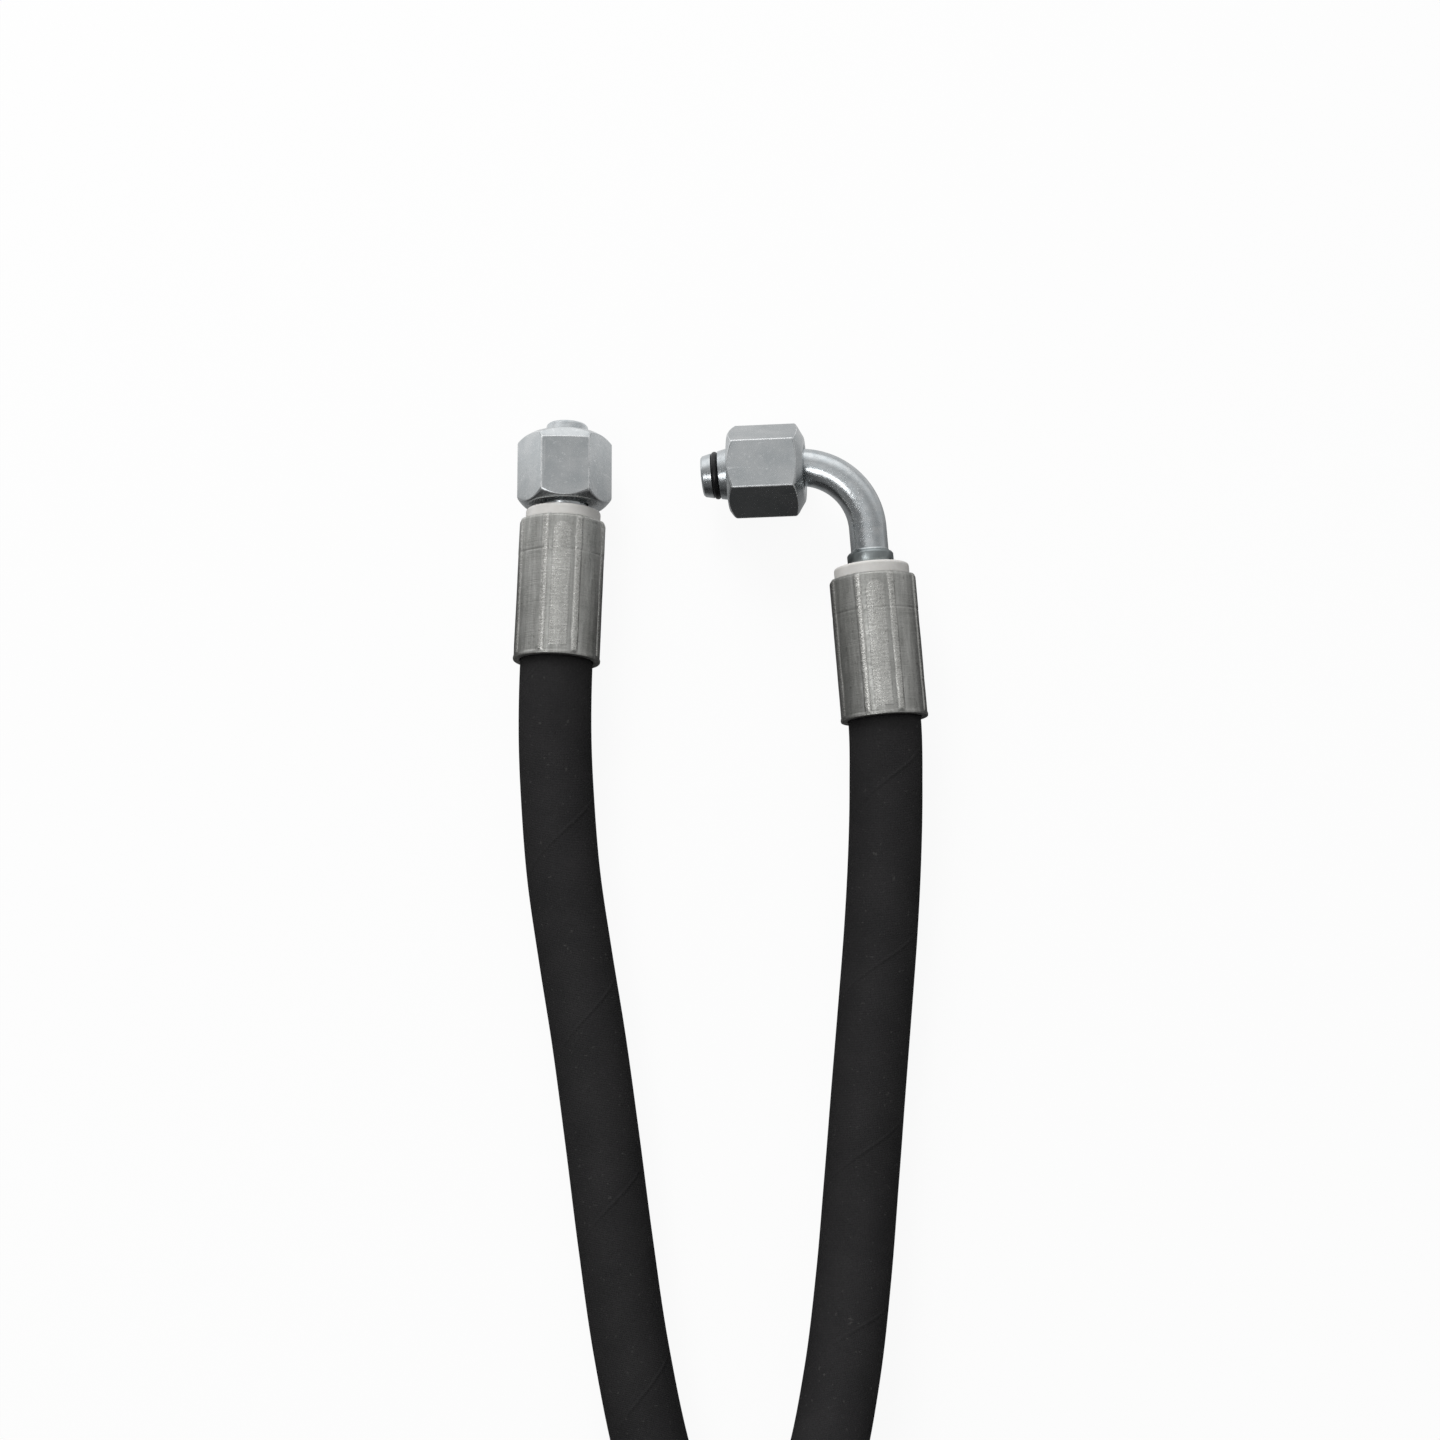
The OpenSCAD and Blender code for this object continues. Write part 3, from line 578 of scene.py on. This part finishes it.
def hexagon(angle):
    """Radius of a hexagon with rounded corners, whose flats face angle 0 and every 60 degrees on."""
    sector = TAU / 6
    from_flat = (angle + sector / 2) % sector - sector / 2
    from_corner = sector / 2 - np.abs(from_flat)
    centre = (NUT_FLAT - CORNER_ROUND) / math.cos(sector / 2)
    touch = math.atan2(CORNER_ROUND * math.sin(sector / 2), centre + CORNER_ROUND * math.cos(sector / 2))
    root = np.sqrt(np.maximum(CORNER_ROUND**2 - (centre * np.sin(from_corner)) ** 2, 0))
    return np.where(from_corner < touch, centre * np.cos(from_corner) + root, NUT_FLAT / np.cos(from_flat))


def blended_min(a, b, reach):
    """Lesser of two radii, with a rounded edge where they meet."""
    mix = np.clip(0.5 + 0.5 * (b - a) / reach, 0, 1)
    return b * (1 - mix) + a * mix - reach * mix * (1 - mix)


def make_nut(name, place, back, length, back_end, front_end):
    """Union nut with a threaded front. Each end is (radius at its face, depth at the flats, depth at the corners,
    depth to which the two flats facing up and down are drawn in, or 0)."""
    angle = np.arange(NUT_AROUND) * TAU / NUT_AROUND
    hexed = hexagon(angle + TAU / 4)
    sector = TAU / 6
    from_flat = np.abs((angle + TAU / 4 + sector / 2) % sector - sector / 2)
    cornered = (hexed - NUT_FLAT) / (hexed.max() - NUT_FLAT)
    on_corner = np.exp(-(((sector / 2 - from_flat) * NUT_FLAT / 0.17) ** 2))
    rounding = 0.12 + 0.75 * cornered
    upright = np.maximum(np.abs(np.sin(angle)), 0.2)

    def limit(end, depth):
        face, at_flat, at_corner, drawn = end
        reach = depth / (at_flat + (at_corner - at_flat) * cornered)
        radius = face + (hexed - face) * reach
        if drawn:
            facet = (face + (NUT_FLAT - face) * depth / drawn) / upright
            radius = np.minimum(radius, facet)
        return radius

    ends = np.concatenate([np.linspace(0.1, 4.4, 44), [4.6, 5.0]])
    depths = np.concatenate([ends, np.linspace(5.5, length - 5.5, 8), (length - ends)[::-1]])
    rings, marks = [], []

    def add(radius, distance, mark=None):
        rings.append(circle_ring(place, radius, back + distance, NUT_AROUND))
        marks.append(np.zeros(NUT_AROUND) if mark is None else mark)

    def rim(end, distance, sign):
        face = limit(end, 0)
        steps = [(-0.3, 0.0), (-0.17, 0.0), (-0.08, 0.015), (-0.02, 0.05)]
        for drop, inward in steps if sign > 0 else steps[::-1]:
            add(face + drop, distance + sign * inward)

    rim(back_end, 0, 1)
    for depth in depths:
        back_limit, front_limit = limit(back_end, depth), limit(front_end, length - depth)
        radius = blended_min(blended_min(hexed, back_limit, rounding), front_limit, rounding)
        near = np.minimum(np.abs(hexed - back_limit), np.abs(hexed - front_limit)) * 1.3
        whole = (back_limit > hexed) & (front_limit > hexed)
        # marks: the corner lines and the chamfer edges, which the material paints lighter as wear and painted highlight
        add(radius, depth, np.maximum(on_corner * whole, np.exp(-((near / 0.11) ** 2))))
    rim(front_end, length, -1)
    # the front hole's lead-in, then the thread, back to the shoulder and the neck's hole
    thread_back = length - THREAD_DEPTH
    count = int(THREAD_DEPTH / THREAD_PITCH * 10)
    add(np.full(NUT_AROUND, THREAD_R + 0.95), length)
    for k in range(count + 1):
        z = length - 0.02 - (THREAD_DEPTH - 0.02) * k / count
        phase = (z / THREAD_PITCH - angle / TAU) % 1
        tooth = np.clip((0.5 - np.abs(phase - 0.5)) / 0.375 - 0.15, 0, 1)
        grown = float(smoothstep(thread_back + 0.3, thread_back + 1.8, z))
        radius = THREAD_R + (THREAD_ROOT_R - THREAD_R) * tooth * grown
        add(np.maximum(radius, THREAD_R + 0.85 - (length - z)), z)
    hole_top = thread_back - (THREAD_R - NUT_HOLE_R)
    inside = [
        (THREAD_R, thread_back - 0.02, 0),
        (NUT_HOLE_R, hole_top, 0.3),
        (NUT_HOLE_R, 0.4, 0.1),
        (NUT_HOLE_R + 0.4, 0, 0.1),
        (NUT_HOLE_R + 0.8, 0, 0),
    ]
    for r, s in filleted(inside):
        add(np.full(NUT_AROUND, r), s)
    nut = shell(name, rings, TAU * NUT_FLAT, marks=np.array(marks))
    return nut


straight_nut = make_nut(
    "straight_union_nut",
    AT_STRAIGHT_NUT,
    STRAIGHT_NUT_BACK - STRAIGHT_NUT_LIP,
    STRAIGHT_NUT_LENGTH + STRAIGHT_NUT_LIP,
    (10.5, 0.45, 1.8, 0),
    (9.25, 1.0, 1.85, 3.0),
)
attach(straight_nut, "straight_nut")
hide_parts("straight_nut")
elbow_nut = make_nut(
    "elbow_union_nut",
    AT_ELBOW_NUT,
    ELBOW_NUT_BACK,
    ELBOW_NUT_LENGTH,
    (8.6, 1.6, 2.2, 0),
    (10.45, 0.4, 1.55, 0),
)
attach(elbow_nut, "elbow_nut")
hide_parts("elbow_nut")

# ---------- materials ----------


class Nodes:
    """Short way to make the nodes of one node tree."""

    def __init__(self, tree):
        self.tree = tree

    def node(self, kind, out=0, **settings):
        """An output of a new node whose settings are properties, or inputs by name with spaces as underscores, or by
        number after an underscore. Values may be sockets."""
        node = self.tree.nodes.new("ShaderNode" + kind)
        inputs = {}
        for key, value in settings.items():
            if hasattr(node, key) and not key[0].isupper():
                setattr(node, key, value)
            else:
                inputs[key] = value
        for key, value in inputs.items():
            self.feed(node, int(key[1:]) if key[0] == "_" else key.replace("_", " "), value)
        return node.outputs[out]

    def feed(self, node, key, value):
        if isinstance(value, bpy.types.NodeSocket):
            self.tree.links.new(value, node.inputs[key])
        else:
            node.inputs[key].default_value = value

    def math(self, operation, a, b=0.0):
        return self.node("Math", operation=operation, _0=a, _1=b)

    def vector(self, operation, a, b=(0, 0, 0), out=0):
        return self.node("VectorMath", out=out, operation=operation, _0=a, _1=b)

    def noise(self, vector, scale, detail=3.0, roughness=0.55):
        return self.node("TexNoise", Vector=vector, Scale=scale, Detail=detail, Roughness=roughness)

    def range(self, value, low, high, to_low=0.0, to_high=1.0):
        return self.node("MapRange", Value=value, From_Min=low, From_Max=high, To_Min=to_low, To_Max=to_high)

    def mix(self, factor, a, b):
        return self.node("Mix", out=2, data_type="RGBA", _0=factor, _6=a, _7=b)


class Material(Nodes):
    """The same for a material, whose shader's inputs can be set by name."""

    def __init__(self, name):
        self.material = bpy.data.materials.new(name)
        self.material.use_nodes = True
        super().__init__(self.material.node_tree)
        self.shader = self.tree.nodes["Principled BSDF"]

    def set(self, **settings):
        for key, value in settings.items():
            self.feed(self.shader, key.replace("_", " "), value)

    def bump(self, *layers):
        """Bumps on one another, each (height socket, depth in metres)."""
        normal = None
        for height, depth in layers:
            settings = {"Height": height, "Distance": depth, "Strength": 1.0}
            if normal is not None:
                settings["Normal"] = normal
            normal = self.node("Bump", **settings)
        self.feed(self.shader, "Normal", normal)

    def wrap(self):
        """Metres round and along a mesh made by shell."""
        return self.node("UVMap", uv_map="Wrap")

    def place(self):
        """Place on the resting part, in metres."""
        return self.node("TexCoord", out=3)

    def stretched(self, around, along):
        """Metres round and along, times two numbers, for a noise of scale 1."""
        return self.vector("MULTIPLY", self.wrap(), (around, along, 1.0))


CLOTH_PITCH = 0.048


def rubber_material():
    """Cover of the hose: matte black, with the fine cross weave that the curing cloth leaves, a faint edge of each
    wrap of that cloth, and a little dust."""
    t = Material("hose_rubber")
    wrap = t.wrap()
    along = t.node("SeparateXYZ", out=1, Vector=wrap)
    around = t.node("SeparateXYZ", out=0, Vector=wrap)
    thread = {"Vector": wrap, "Scale": 720.0, "Distortion": 1.4, "Detail": 2.0, "Detail_Scale": 300.0}
    warp = t.node("TexWave", bands_direction="X", **thread)
    weft = t.node("TexWave", bands_direction="Y", **thread)
    cloth = t.math("MULTIPLY", warp, weft)
    pitches, turns = t.math("MULTIPLY", along, 1 / CLOTH_PITCH), t.math("MULTIPLY", around, 1 / (TAU * HOSE_R * MM))
    turn = t.math("ADD", pitches, turns)
    seam = t.range(t.math("ABSOLUTE", t.math("SUBTRACT", t.math("FRACT", turn), 0.5)), 0.0, 0.018, 1.0, 0.0)
    broad = t.noise(t.place(), 90.0, 4.0)
    fine = t.noise(t.place(), 1400.0, 2.0)
    specks = t.range(t.noise(t.place(), 900.0, 1.0, 0.4), 0.70, 0.78)
    colour = t.mix(t.range(broad, 0.3, 0.7), (0.0115, 0.0112, 0.0119, 1), (0.0172, 0.0165, 0.0172, 1))
    colour = t.mix(t.math("MULTIPLY", specks, 0.35), colour, (0.075, 0.073, 0.07, 1))
    t.set(Base_Color=colour, Roughness=t.range(fine, 0.2, 0.8, 0.58, 0.80), Specular_IOR_Level=0.34)
    t.bump((cloth, 0.00006), (seam, 0.00012), (fine, 0.00005), (broad, 0.00016))
    return t.material


def nut_material():
    """Zinc plated, tumbled steel: mottled flats, faint scratches and small dents."""
    t = Material("zinc_nut")
    place = t.place()
    broad = t.noise(place, 160.0, 4.0, 0.6)
    mottle = t.noise(place, 900.0, 3.0, 0.6)
    edge = t.node("Attribute", attribute_name="mark", out=2)
    # corner lines and chamfer edges painted lighter: wear, together with a painted highlight along each edge
    edge_wear_and_highlight = t.math("MULTIPLY", edge, t.range(t.noise(place, 420.0, 3.0), 0.30, 0.55, 0.6, 1.0))
    stretch = t.node("Mapping", Vector=place, Rotation=(0.3, 0.4, 0.7), Scale=(60.0, 900.0, 240.0))
    scratch_a = t.range(t.noise(stretch, 1.0, 2.0, 0.5), 0.66, 0.72)
    stretch = t.node("Mapping", Vector=place, Rotation=(0.9, -0.5, 1.9), Scale=(900.0, 50.0, 300.0))
    scratch_b = t.range(t.noise(stretch, 1.0, 2.0, 0.5), 0.68, 0.73)
    scratches = t.math("MAXIMUM", scratch_a, scratch_b)
    dents = t.node("TexVoronoi", Vector=place, Scale=330.0, Randomness=1.0)
    dents = t.range(dents, 0.06, 0.22, 1.0, 0.0)
    colour = t.mix(t.range(broad, 0.32, 0.68), (0.50, 0.53, 0.545, 1), (0.62, 0.64, 0.65, 1))
    colour = t.mix(t.math("MULTIPLY", scratches, 0.35), colour, (0.76, 0.78, 0.79, 1))
    flecks = t.range(t.noise(place, 1300.0, 2.0, 0.6), 0.60, 0.70)
    colour = t.mix(t.math("MULTIPLY", flecks, 0.45), colour, (0.82, 0.84, 0.85, 1))
    colour = t.mix(t.math("MULTIPLY", edge_wear_and_highlight, 0.9), colour, (0.93, 0.94, 0.95, 1))
    rough = t.math("ADD", t.range(mottle, 0.25, 0.75, 0.22, 0.32), t.math("MULTIPLY", edge_wear_and_highlight, 0.2))
    t.set(Base_Color=colour, Metallic=t.range(edge_wear_and_highlight, 0.0, 1.0, 1.0, 0.5), Roughness=rough)
    t.bump((mottle, 0.00002), (scratches, 0.00001), (dents, -0.00002), (broad, 0.00007))
    return t.material


def steel_material():
    """Bright zinc on the turned and bent insert: smooth, with fine turning lines and a grain of zinc crystals."""
    t = Material("zinc_steel")
    place = t.place()
    turning = t.noise(t.stretched(40.0, 5200.0), 1.0, 3.0, 0.6)
    grain = t.node("TexVoronoi", Vector=place, Scale=2600.0, Randomness=1.0, out=1)
    grain = t.node("SeparateColor", Color=grain)
    broad = t.noise(place, 220.0, 3.0)
    patch = t.range(broad, 0.42, 0.62)
    colour = t.mix(t.range(t.noise(place, 500.0, 4.0), 0.3, 0.7), (0.60, 0.645, 0.67, 1), (0.74, 0.765, 0.78, 1))
    colour = t.mix(t.math("MULTIPLY", t.math("MULTIPLY", grain, patch), 0.30), colour, (0.36, 0.38, 0.39, 1))
    # the collar is rougher, and its colour is darkened as painted shade
    collar_dulling_and_shade = t.node("Attribute", attribute_name="mark", out=2)
    colour = t.mix(t.math("MULTIPLY", collar_dulling_and_shade, 0.85), colour, (0.31, 0.345, 0.35, 1))
    rough = t.math("ADD", 0.16, t.math("ADD", t.math("MULTIPLY", collar_dulling_and_shade, 0.10), t.math("MULTIPLY", grain, 0.12)))
    rough = t.math("ADD", rough, t.math("MULTIPLY", patch, 0.05))
    t.set(Base_Color=colour, Metallic=1.0, Roughness=rough)
    t.bump((turning, 0.000012), (t.math("MULTIPLY", grain, patch), 0.000022), (broad, 0.00005))
    return t.material


def ferrule_material():
    """Dull plated steel after crimping: turning lines round it, drawn streaks along it, smoother pressed ridge tops and
    pad painted lighter in speckles, as scuffs together with a painted highlight, and dark stains."""
    t = Material("ferrule_steel")
    place = t.place()
    mark = t.node("Attribute", attribute_name="mark", out=2)
    turning = t.noise(t.stretched(70.0, 4200.0), 1.0, 3.0, 0.65)
    streaks = t.noise(t.stretched(900.0, 70.0), 1.0, 4.0, 0.6)
    ribs = t.noise(t.stretched(150.0, 1300.0), 1.0, 3.0, 0.7)
    broad = t.noise(place, 170.0, 4.0, 0.6)
    speck = t.noise(place, 2100.0, 3.0, 0.7)
    colour = t.mix(t.range(broad, 0.30, 0.70), (0.405, 0.408, 0.387, 1), (0.600, 0.603, 0.580, 1))
    colour = t.mix(t.range(streaks, 0.38, 0.68, 0.0, 0.6), colour, (0.255, 0.257, 0.245, 1))
    colour = t.mix(t.range(streaks, 0.44, 0.30, 0.0, 0.45), colour, (0.700, 0.705, 0.685, 1))
    colour = t.mix(t.range(turning, 0.50, 0.74, 0.0, 0.50), colour, (0.690, 0.692, 0.670, 1))
    # ridge tops and pad painted lighter in speckles: scuffs together with a painted highlight
    light = t.math("MULTIPLY", mark, t.range(speck, 0.30, 0.62))
    colour = t.mix(t.math("MULTIPLY", light, 0.75), colour, (0.84, 0.835, 0.80, 1))
    scuffs = t.noise(place, 3600.0, 2.0, 0.7)
    colour = t.mix(t.range(scuffs, 0.50, 0.72, 0.0, 0.50), colour, (0.80, 0.80, 0.775, 1))
    dark = t.math("MULTIPLY", t.range(t.noise(place, 700.0, 3.0, 0.6), 0.62, 0.72), 0.45)
    colour = t.mix(dark, colour, (0.14, 0.135, 0.12, 1))
    rough = t.math("SUBTRACT", t.range(speck, 0.25, 0.75, 0.25, 0.40), t.math("MULTIPLY", mark, 0.08))
    t.set(Base_Color=colour, Metallic=0.87, Roughness=rough)
    t.bump(
        (turning, 0.00009),
        (streaks, 0.00003),
        (t.math("MULTIPLY", ribs, mark), 0.00005),
        (t.math("MULTIPLY", speck, t.math("ADD", mark, 0.2)), 0.00006),
    )
    return t.material


def nylon_material():
    t = Material("guard_nylon")
    place = t.place()
    cloud = t.noise(place, 260.0, 3.0)
    specks = t.range(t.noise(place, 1500.0, 2.0), 0.68, 0.76)
    colour = t.mix(t.range(cloud, 0.3, 0.7), (0.590, 0.580, 0.560, 1), (0.650, 0.640, 0.620, 1))
    colour = t.mix(t.math("MULTIPLY", specks, 0.3), colour, (0.52, 0.48, 0.42, 1))
    t.set(Base_Color=colour, Roughness=t.range(cloud, 0.3, 0.7, 0.36, 0.48), Subsurface_Weight=0.15)
    t.set(Subsurface_Radius=(1.0, 0.9, 0.8), Subsurface_Scale=0.0015, Specular_IOR_Level=0.45)
    turning = t.noise(t.stretched(60.0, 2400.0), 1.0, 2.0)
    t.bump((turning, 0.00003), (cloud, 0.00008))
    return t.material


def seal_material():
    t = Material("seal_rubber")
    place = t.place()
    cloud = t.noise(place, 600.0, 3.0)
    flash = t.noise(t.stretched(90.0, 3000.0), 1.0, 2.0)
    colour = t.mix(t.range(cloud, 0.3, 0.7), (0.007, 0.0073, 0.008, 1), (0.012, 0.012, 0.013, 1))
    t.set(Base_Color=colour, Roughness=t.range(cloud, 0.3, 0.7, 0.24, 0.36), Specular_IOR_Level=0.36)
    t.bump((flash, 0.00002), (cloud, 0.00002))
    return t.material


def axis_coordinates(t, matrix):
    """Angle about a fitting's axis, and metres along it, for CAD nodes, which have no UV map of their own."""
    inverse = matrix.inverted()
    millimetres = t.vector("MULTIPLY", t.place(), (1 / MM, 1 / MM, 1 / MM))
    centred = t.vector("ADD", millimetres, tuple(-matrix.translation))
    axes = [tuple(inverse[i][:3]) for i in range(3)]
    x, y, z = (t.vector("DOT_PRODUCT", centred, axis, out=1) for axis in axes)
    return t.math("ARCTAN2", y, x), t.math("MULTIPLY", z, MM)


def braid_material(name, matrix):
    """Two sets of fine brass-coated wires that cross over and under each other."""
    t = Material(name)
    angle, along = axis_coordinates(t, matrix)
    turn, rise = t.math("MULTIPLY", angle, 60.0), t.math("MULTIPLY", along, 9000.0)
    right, left = (t.math("SINE", t.math(way, turn, rise)) for way in ("ADD", "SUBTRACT"))
    over = t.math("MAXIMUM", right, left)
    worn = t.noise(t.place(), 500.0, 3.0)
    colour = t.mix(t.range(over, -0.6, 0.8), (0.22, 0.17, 0.08, 1), (0.74, 0.62, 0.36, 1))
    colour = t.mix(t.range(worn, 0.55, 0.75, 0.0, 0.4), colour, (0.40, 0.37, 0.33, 1))
    t.set(Base_Color=colour, Metallic=1.0, Roughness=t.range(worn, 0.3, 0.7, 0.28, 0.42))
    t.bump((over, 0.00012))
    return t.material


def inner_rubber_material(name, matrix):
    t = Material(name)
    angle, along = axis_coordinates(t, matrix)
    lines = t.math("SINE", t.math("ADD", t.math("MULTIPLY", along, 12000.0), angle))
    cloud = t.noise(t.place(), 700.0, 4.0)
    colour = t.mix(t.range(cloud, 0.3, 0.7), (0.014, 0.014, 0.015, 1), (0.030, 0.029, 0.028, 1))
    t.set(Base_Color=colour, Roughness=t.range(cloud, 0.3, 0.7, 0.45, 0.65))
    t.bump((lines, 0.00002), (cloud, 0.00004))
    return t.material


def give(material, *objects):
    for obj in objects:
        obj.data.materials.clear()
        obj.data.materials.append(material)


give(rubber_material(), hose)
give(nut_material(), straight_nut, elbow_nut)
give(steel_material(), straight_insert, elbow_insert)
give(ferrule_material(), straight_ferrule, elbow_ferrule)
give(nylon_material(), straight_guard, elbow_guard)
give(seal_material(), straight_o_ring, elbow_o_ring)
for end, matrix in (("straight", AT_STRAIGHT), ("elbow", AT_ELBOW)):
    give(braid_material(end + "_braid_wire", matrix), nodes[end + "_inner_braid"], nodes[end + "_outer_braid"])
    give(
        inner_rubber_material(end + "_inner_rubber", matrix),
        nodes[end + "_liner"],
        nodes[end + "_separator"],
        nodes[end + "_cover"],
    )

# ---------- floor, light and background ----------


def make_floor():
    """Plain white floor. The camera sees it as the white background, with a little of the object's shadow. Mirrors see
    it with painted light and shade: bright beyond the fittings and on their left, and dark on the photographer's side."""
    mesh = bpy.data.meshes.new("floor")
    reach = 3.0
    corners = [(-reach, -reach, 0), (reach, -reach, 0), (reach, reach, 0), (-reach, reach, 0)]
    mesh.from_pydata(corners, [], [(0, 1, 2, 3)])
    floor = bpy.data.objects.new("floor", mesh)
    bpy.context.scene.collection.objects.link(floor)
    t = Material("floor")
    t.set(Base_Color=(0.80, 0.80, 0.80, 1), Roughness=0.9, Specular_IOR_Level=0.1)
    x, y = (t.node("SeparateXYZ", out=i, Vector=t.place()) for i in range(2))
    # painted shade and light on the floor as mirrors see it: dark on the photographer's side, where the fittings'
    # shadow would fall, and brighter to the left
    beyond, leftward = t.range(y, 0.0, 0.042, 0.045, 1.0), t.range(x, -0.09, 0.09, 0.98, 0.46)
    mirrored_floor_shade = t.math("MULTIPLY", beyond, leftward)
    path = t.tree.nodes.new("ShaderNodeLightPath")
    camera_ray = path.outputs["Is Camera Ray"]
    glossy = t.math("MAXIMUM", path.outputs["Is Glossy Ray"], path.outputs["Is Transmission Ray"])
    strength = t.math("ADD", camera_ray, t.math("MULTIPLY", glossy, mirrored_floor_shade))
    glow = t.node("Emission", Color=(1, 1, 1, 1), Strength=strength)
    share = t.math("ADD", t.math("MULTIPLY", camera_ray, 0.93), t.math("MULTIPLY", glossy, 0.97))
    mixed = t.node("MixShader", _0=share, _1=t.shader.outputs[0], _2=glow)
    t.tree.links.new(mixed, t.tree.nodes["Material Output"].inputs["Surface"])
    give(t.material, floor)


def area_light(name, place, size, power):
    data = bpy.data.lights.new(name, "AREA")
    data.shape = "RECTANGLE"
    data.size, data.size_y = size
    data.energy = power
    light = bpy.data.objects.new(name, data)
    light.location = place
    light.rotation_euler = (Vector(LIGHT_AIM) - Vector(place)).to_track_quat("-Z", "Y").to_euler()
    bpy.context.scene.collection.objects.link(light)
    return light


def make_world():
    """Soft studio: a bright backdrop beyond the fittings, a grey ceiling, and a dark room behind the photographer."""
    world = bpy.data.worlds.new("studio")
    bpy.context.scene.world = world
    world.use_nodes = True
    t = Nodes(world.node_tree)
    way = t.node("TexCoord")
    x, y, z = (t.node("SeparateXYZ", out=i, Vector=way) for i in range(3))
    # turns about the X axis, from straight down (0) over the photographer's horizon (0.25) and straight up (0.5) to
    # the backdrop's (0.75), and the level of grey there
    tilt = t.math("ARCTAN2", z, t.math("MULTIPLY", y, -1.0))
    turns = t.node("Math", operation="MULTIPLY_ADD", _0=tilt, _1=1 / TAU, _2=0.25)
    turns = t.node("Math", operation="WRAP", _0=turns, _1=1.0, _2=0.0)
    stops = [
        (0.00, 0.40), (0.18, 0.40), (0.24, 0.13), (0.33, 0.07), (0.39, 0.04), (0.43, 0.14), (0.47, 0.42), (0.50, 0.62),
        (0.54, 0.62), (0.59, 0.45), (0.63, 0.80), (0.67, 1.25), (0.74, 1.25), (0.79, 0.90), (0.86, 0.45), (1.00, 0.40),
    ]
    room = t.node("ValToRGB", Fac=turns)
    elements = room.node.color_ramp.elements
    while len(elements) < len(stops):
        elements.new(0.5)
    for element, (position, level) in zip(elements, stops):
        element.position = position
        element.color = (level, level, level, 1)
    # the two sides: greys of their own, and darker low down on the left
    sideways = t.math("POWER", t.math("ABSOLUTE", x), 3.0)
    low = t.math("MAXIMUM", t.range(z, 0.15, 0.50, 0.35, 1.0), t.range(x, -0.2, 0.2))
    room = t.mix(sideways, room, t.math("MULTIPLY", t.range(x, -1.0, 1.0, 0.80, 0.52), low))
    # less of everything on the right, and a dark screen high on the left
    room = t.node("VectorMath", operation="SCALE", _0=room, _3=t.range(x, 0.05, 0.6, 1.0, 0.64))
    towards_screen = t.vector("DOT_PRODUCT", way, (-0.80, -0.10, 0.59), out=1)
    room = t.mix(t.range(towards_screen, 0.80, 0.955, 0.0, 0.85), room, (0.10, 0.10, 0.10, 1))
    # the camera itself sees white
    room = t.mix(t.node("LightPath"), room, (0.975, 0.975, 0.975, 1))
    background = t.tree.nodes["Background"]
    t.feed(background, "Color", room)
    t.feed(background, "Strength", 1.0)


LIGHT_AIM = (0, -0.03, 0)

make_floor()
make_world()
area_light("key", (-0.42, -0.40, 1.0), (0.55, 0.44), 2.4)
fill = area_light("fill", (-0.35, 0.95, 0.65), (0.60, 0.50), 11.0)
# mirrors see the backdrop there, not the lamp
fill.visible_glossy = False
bpy.context.scene.view_settings.view_transform = "Standard"
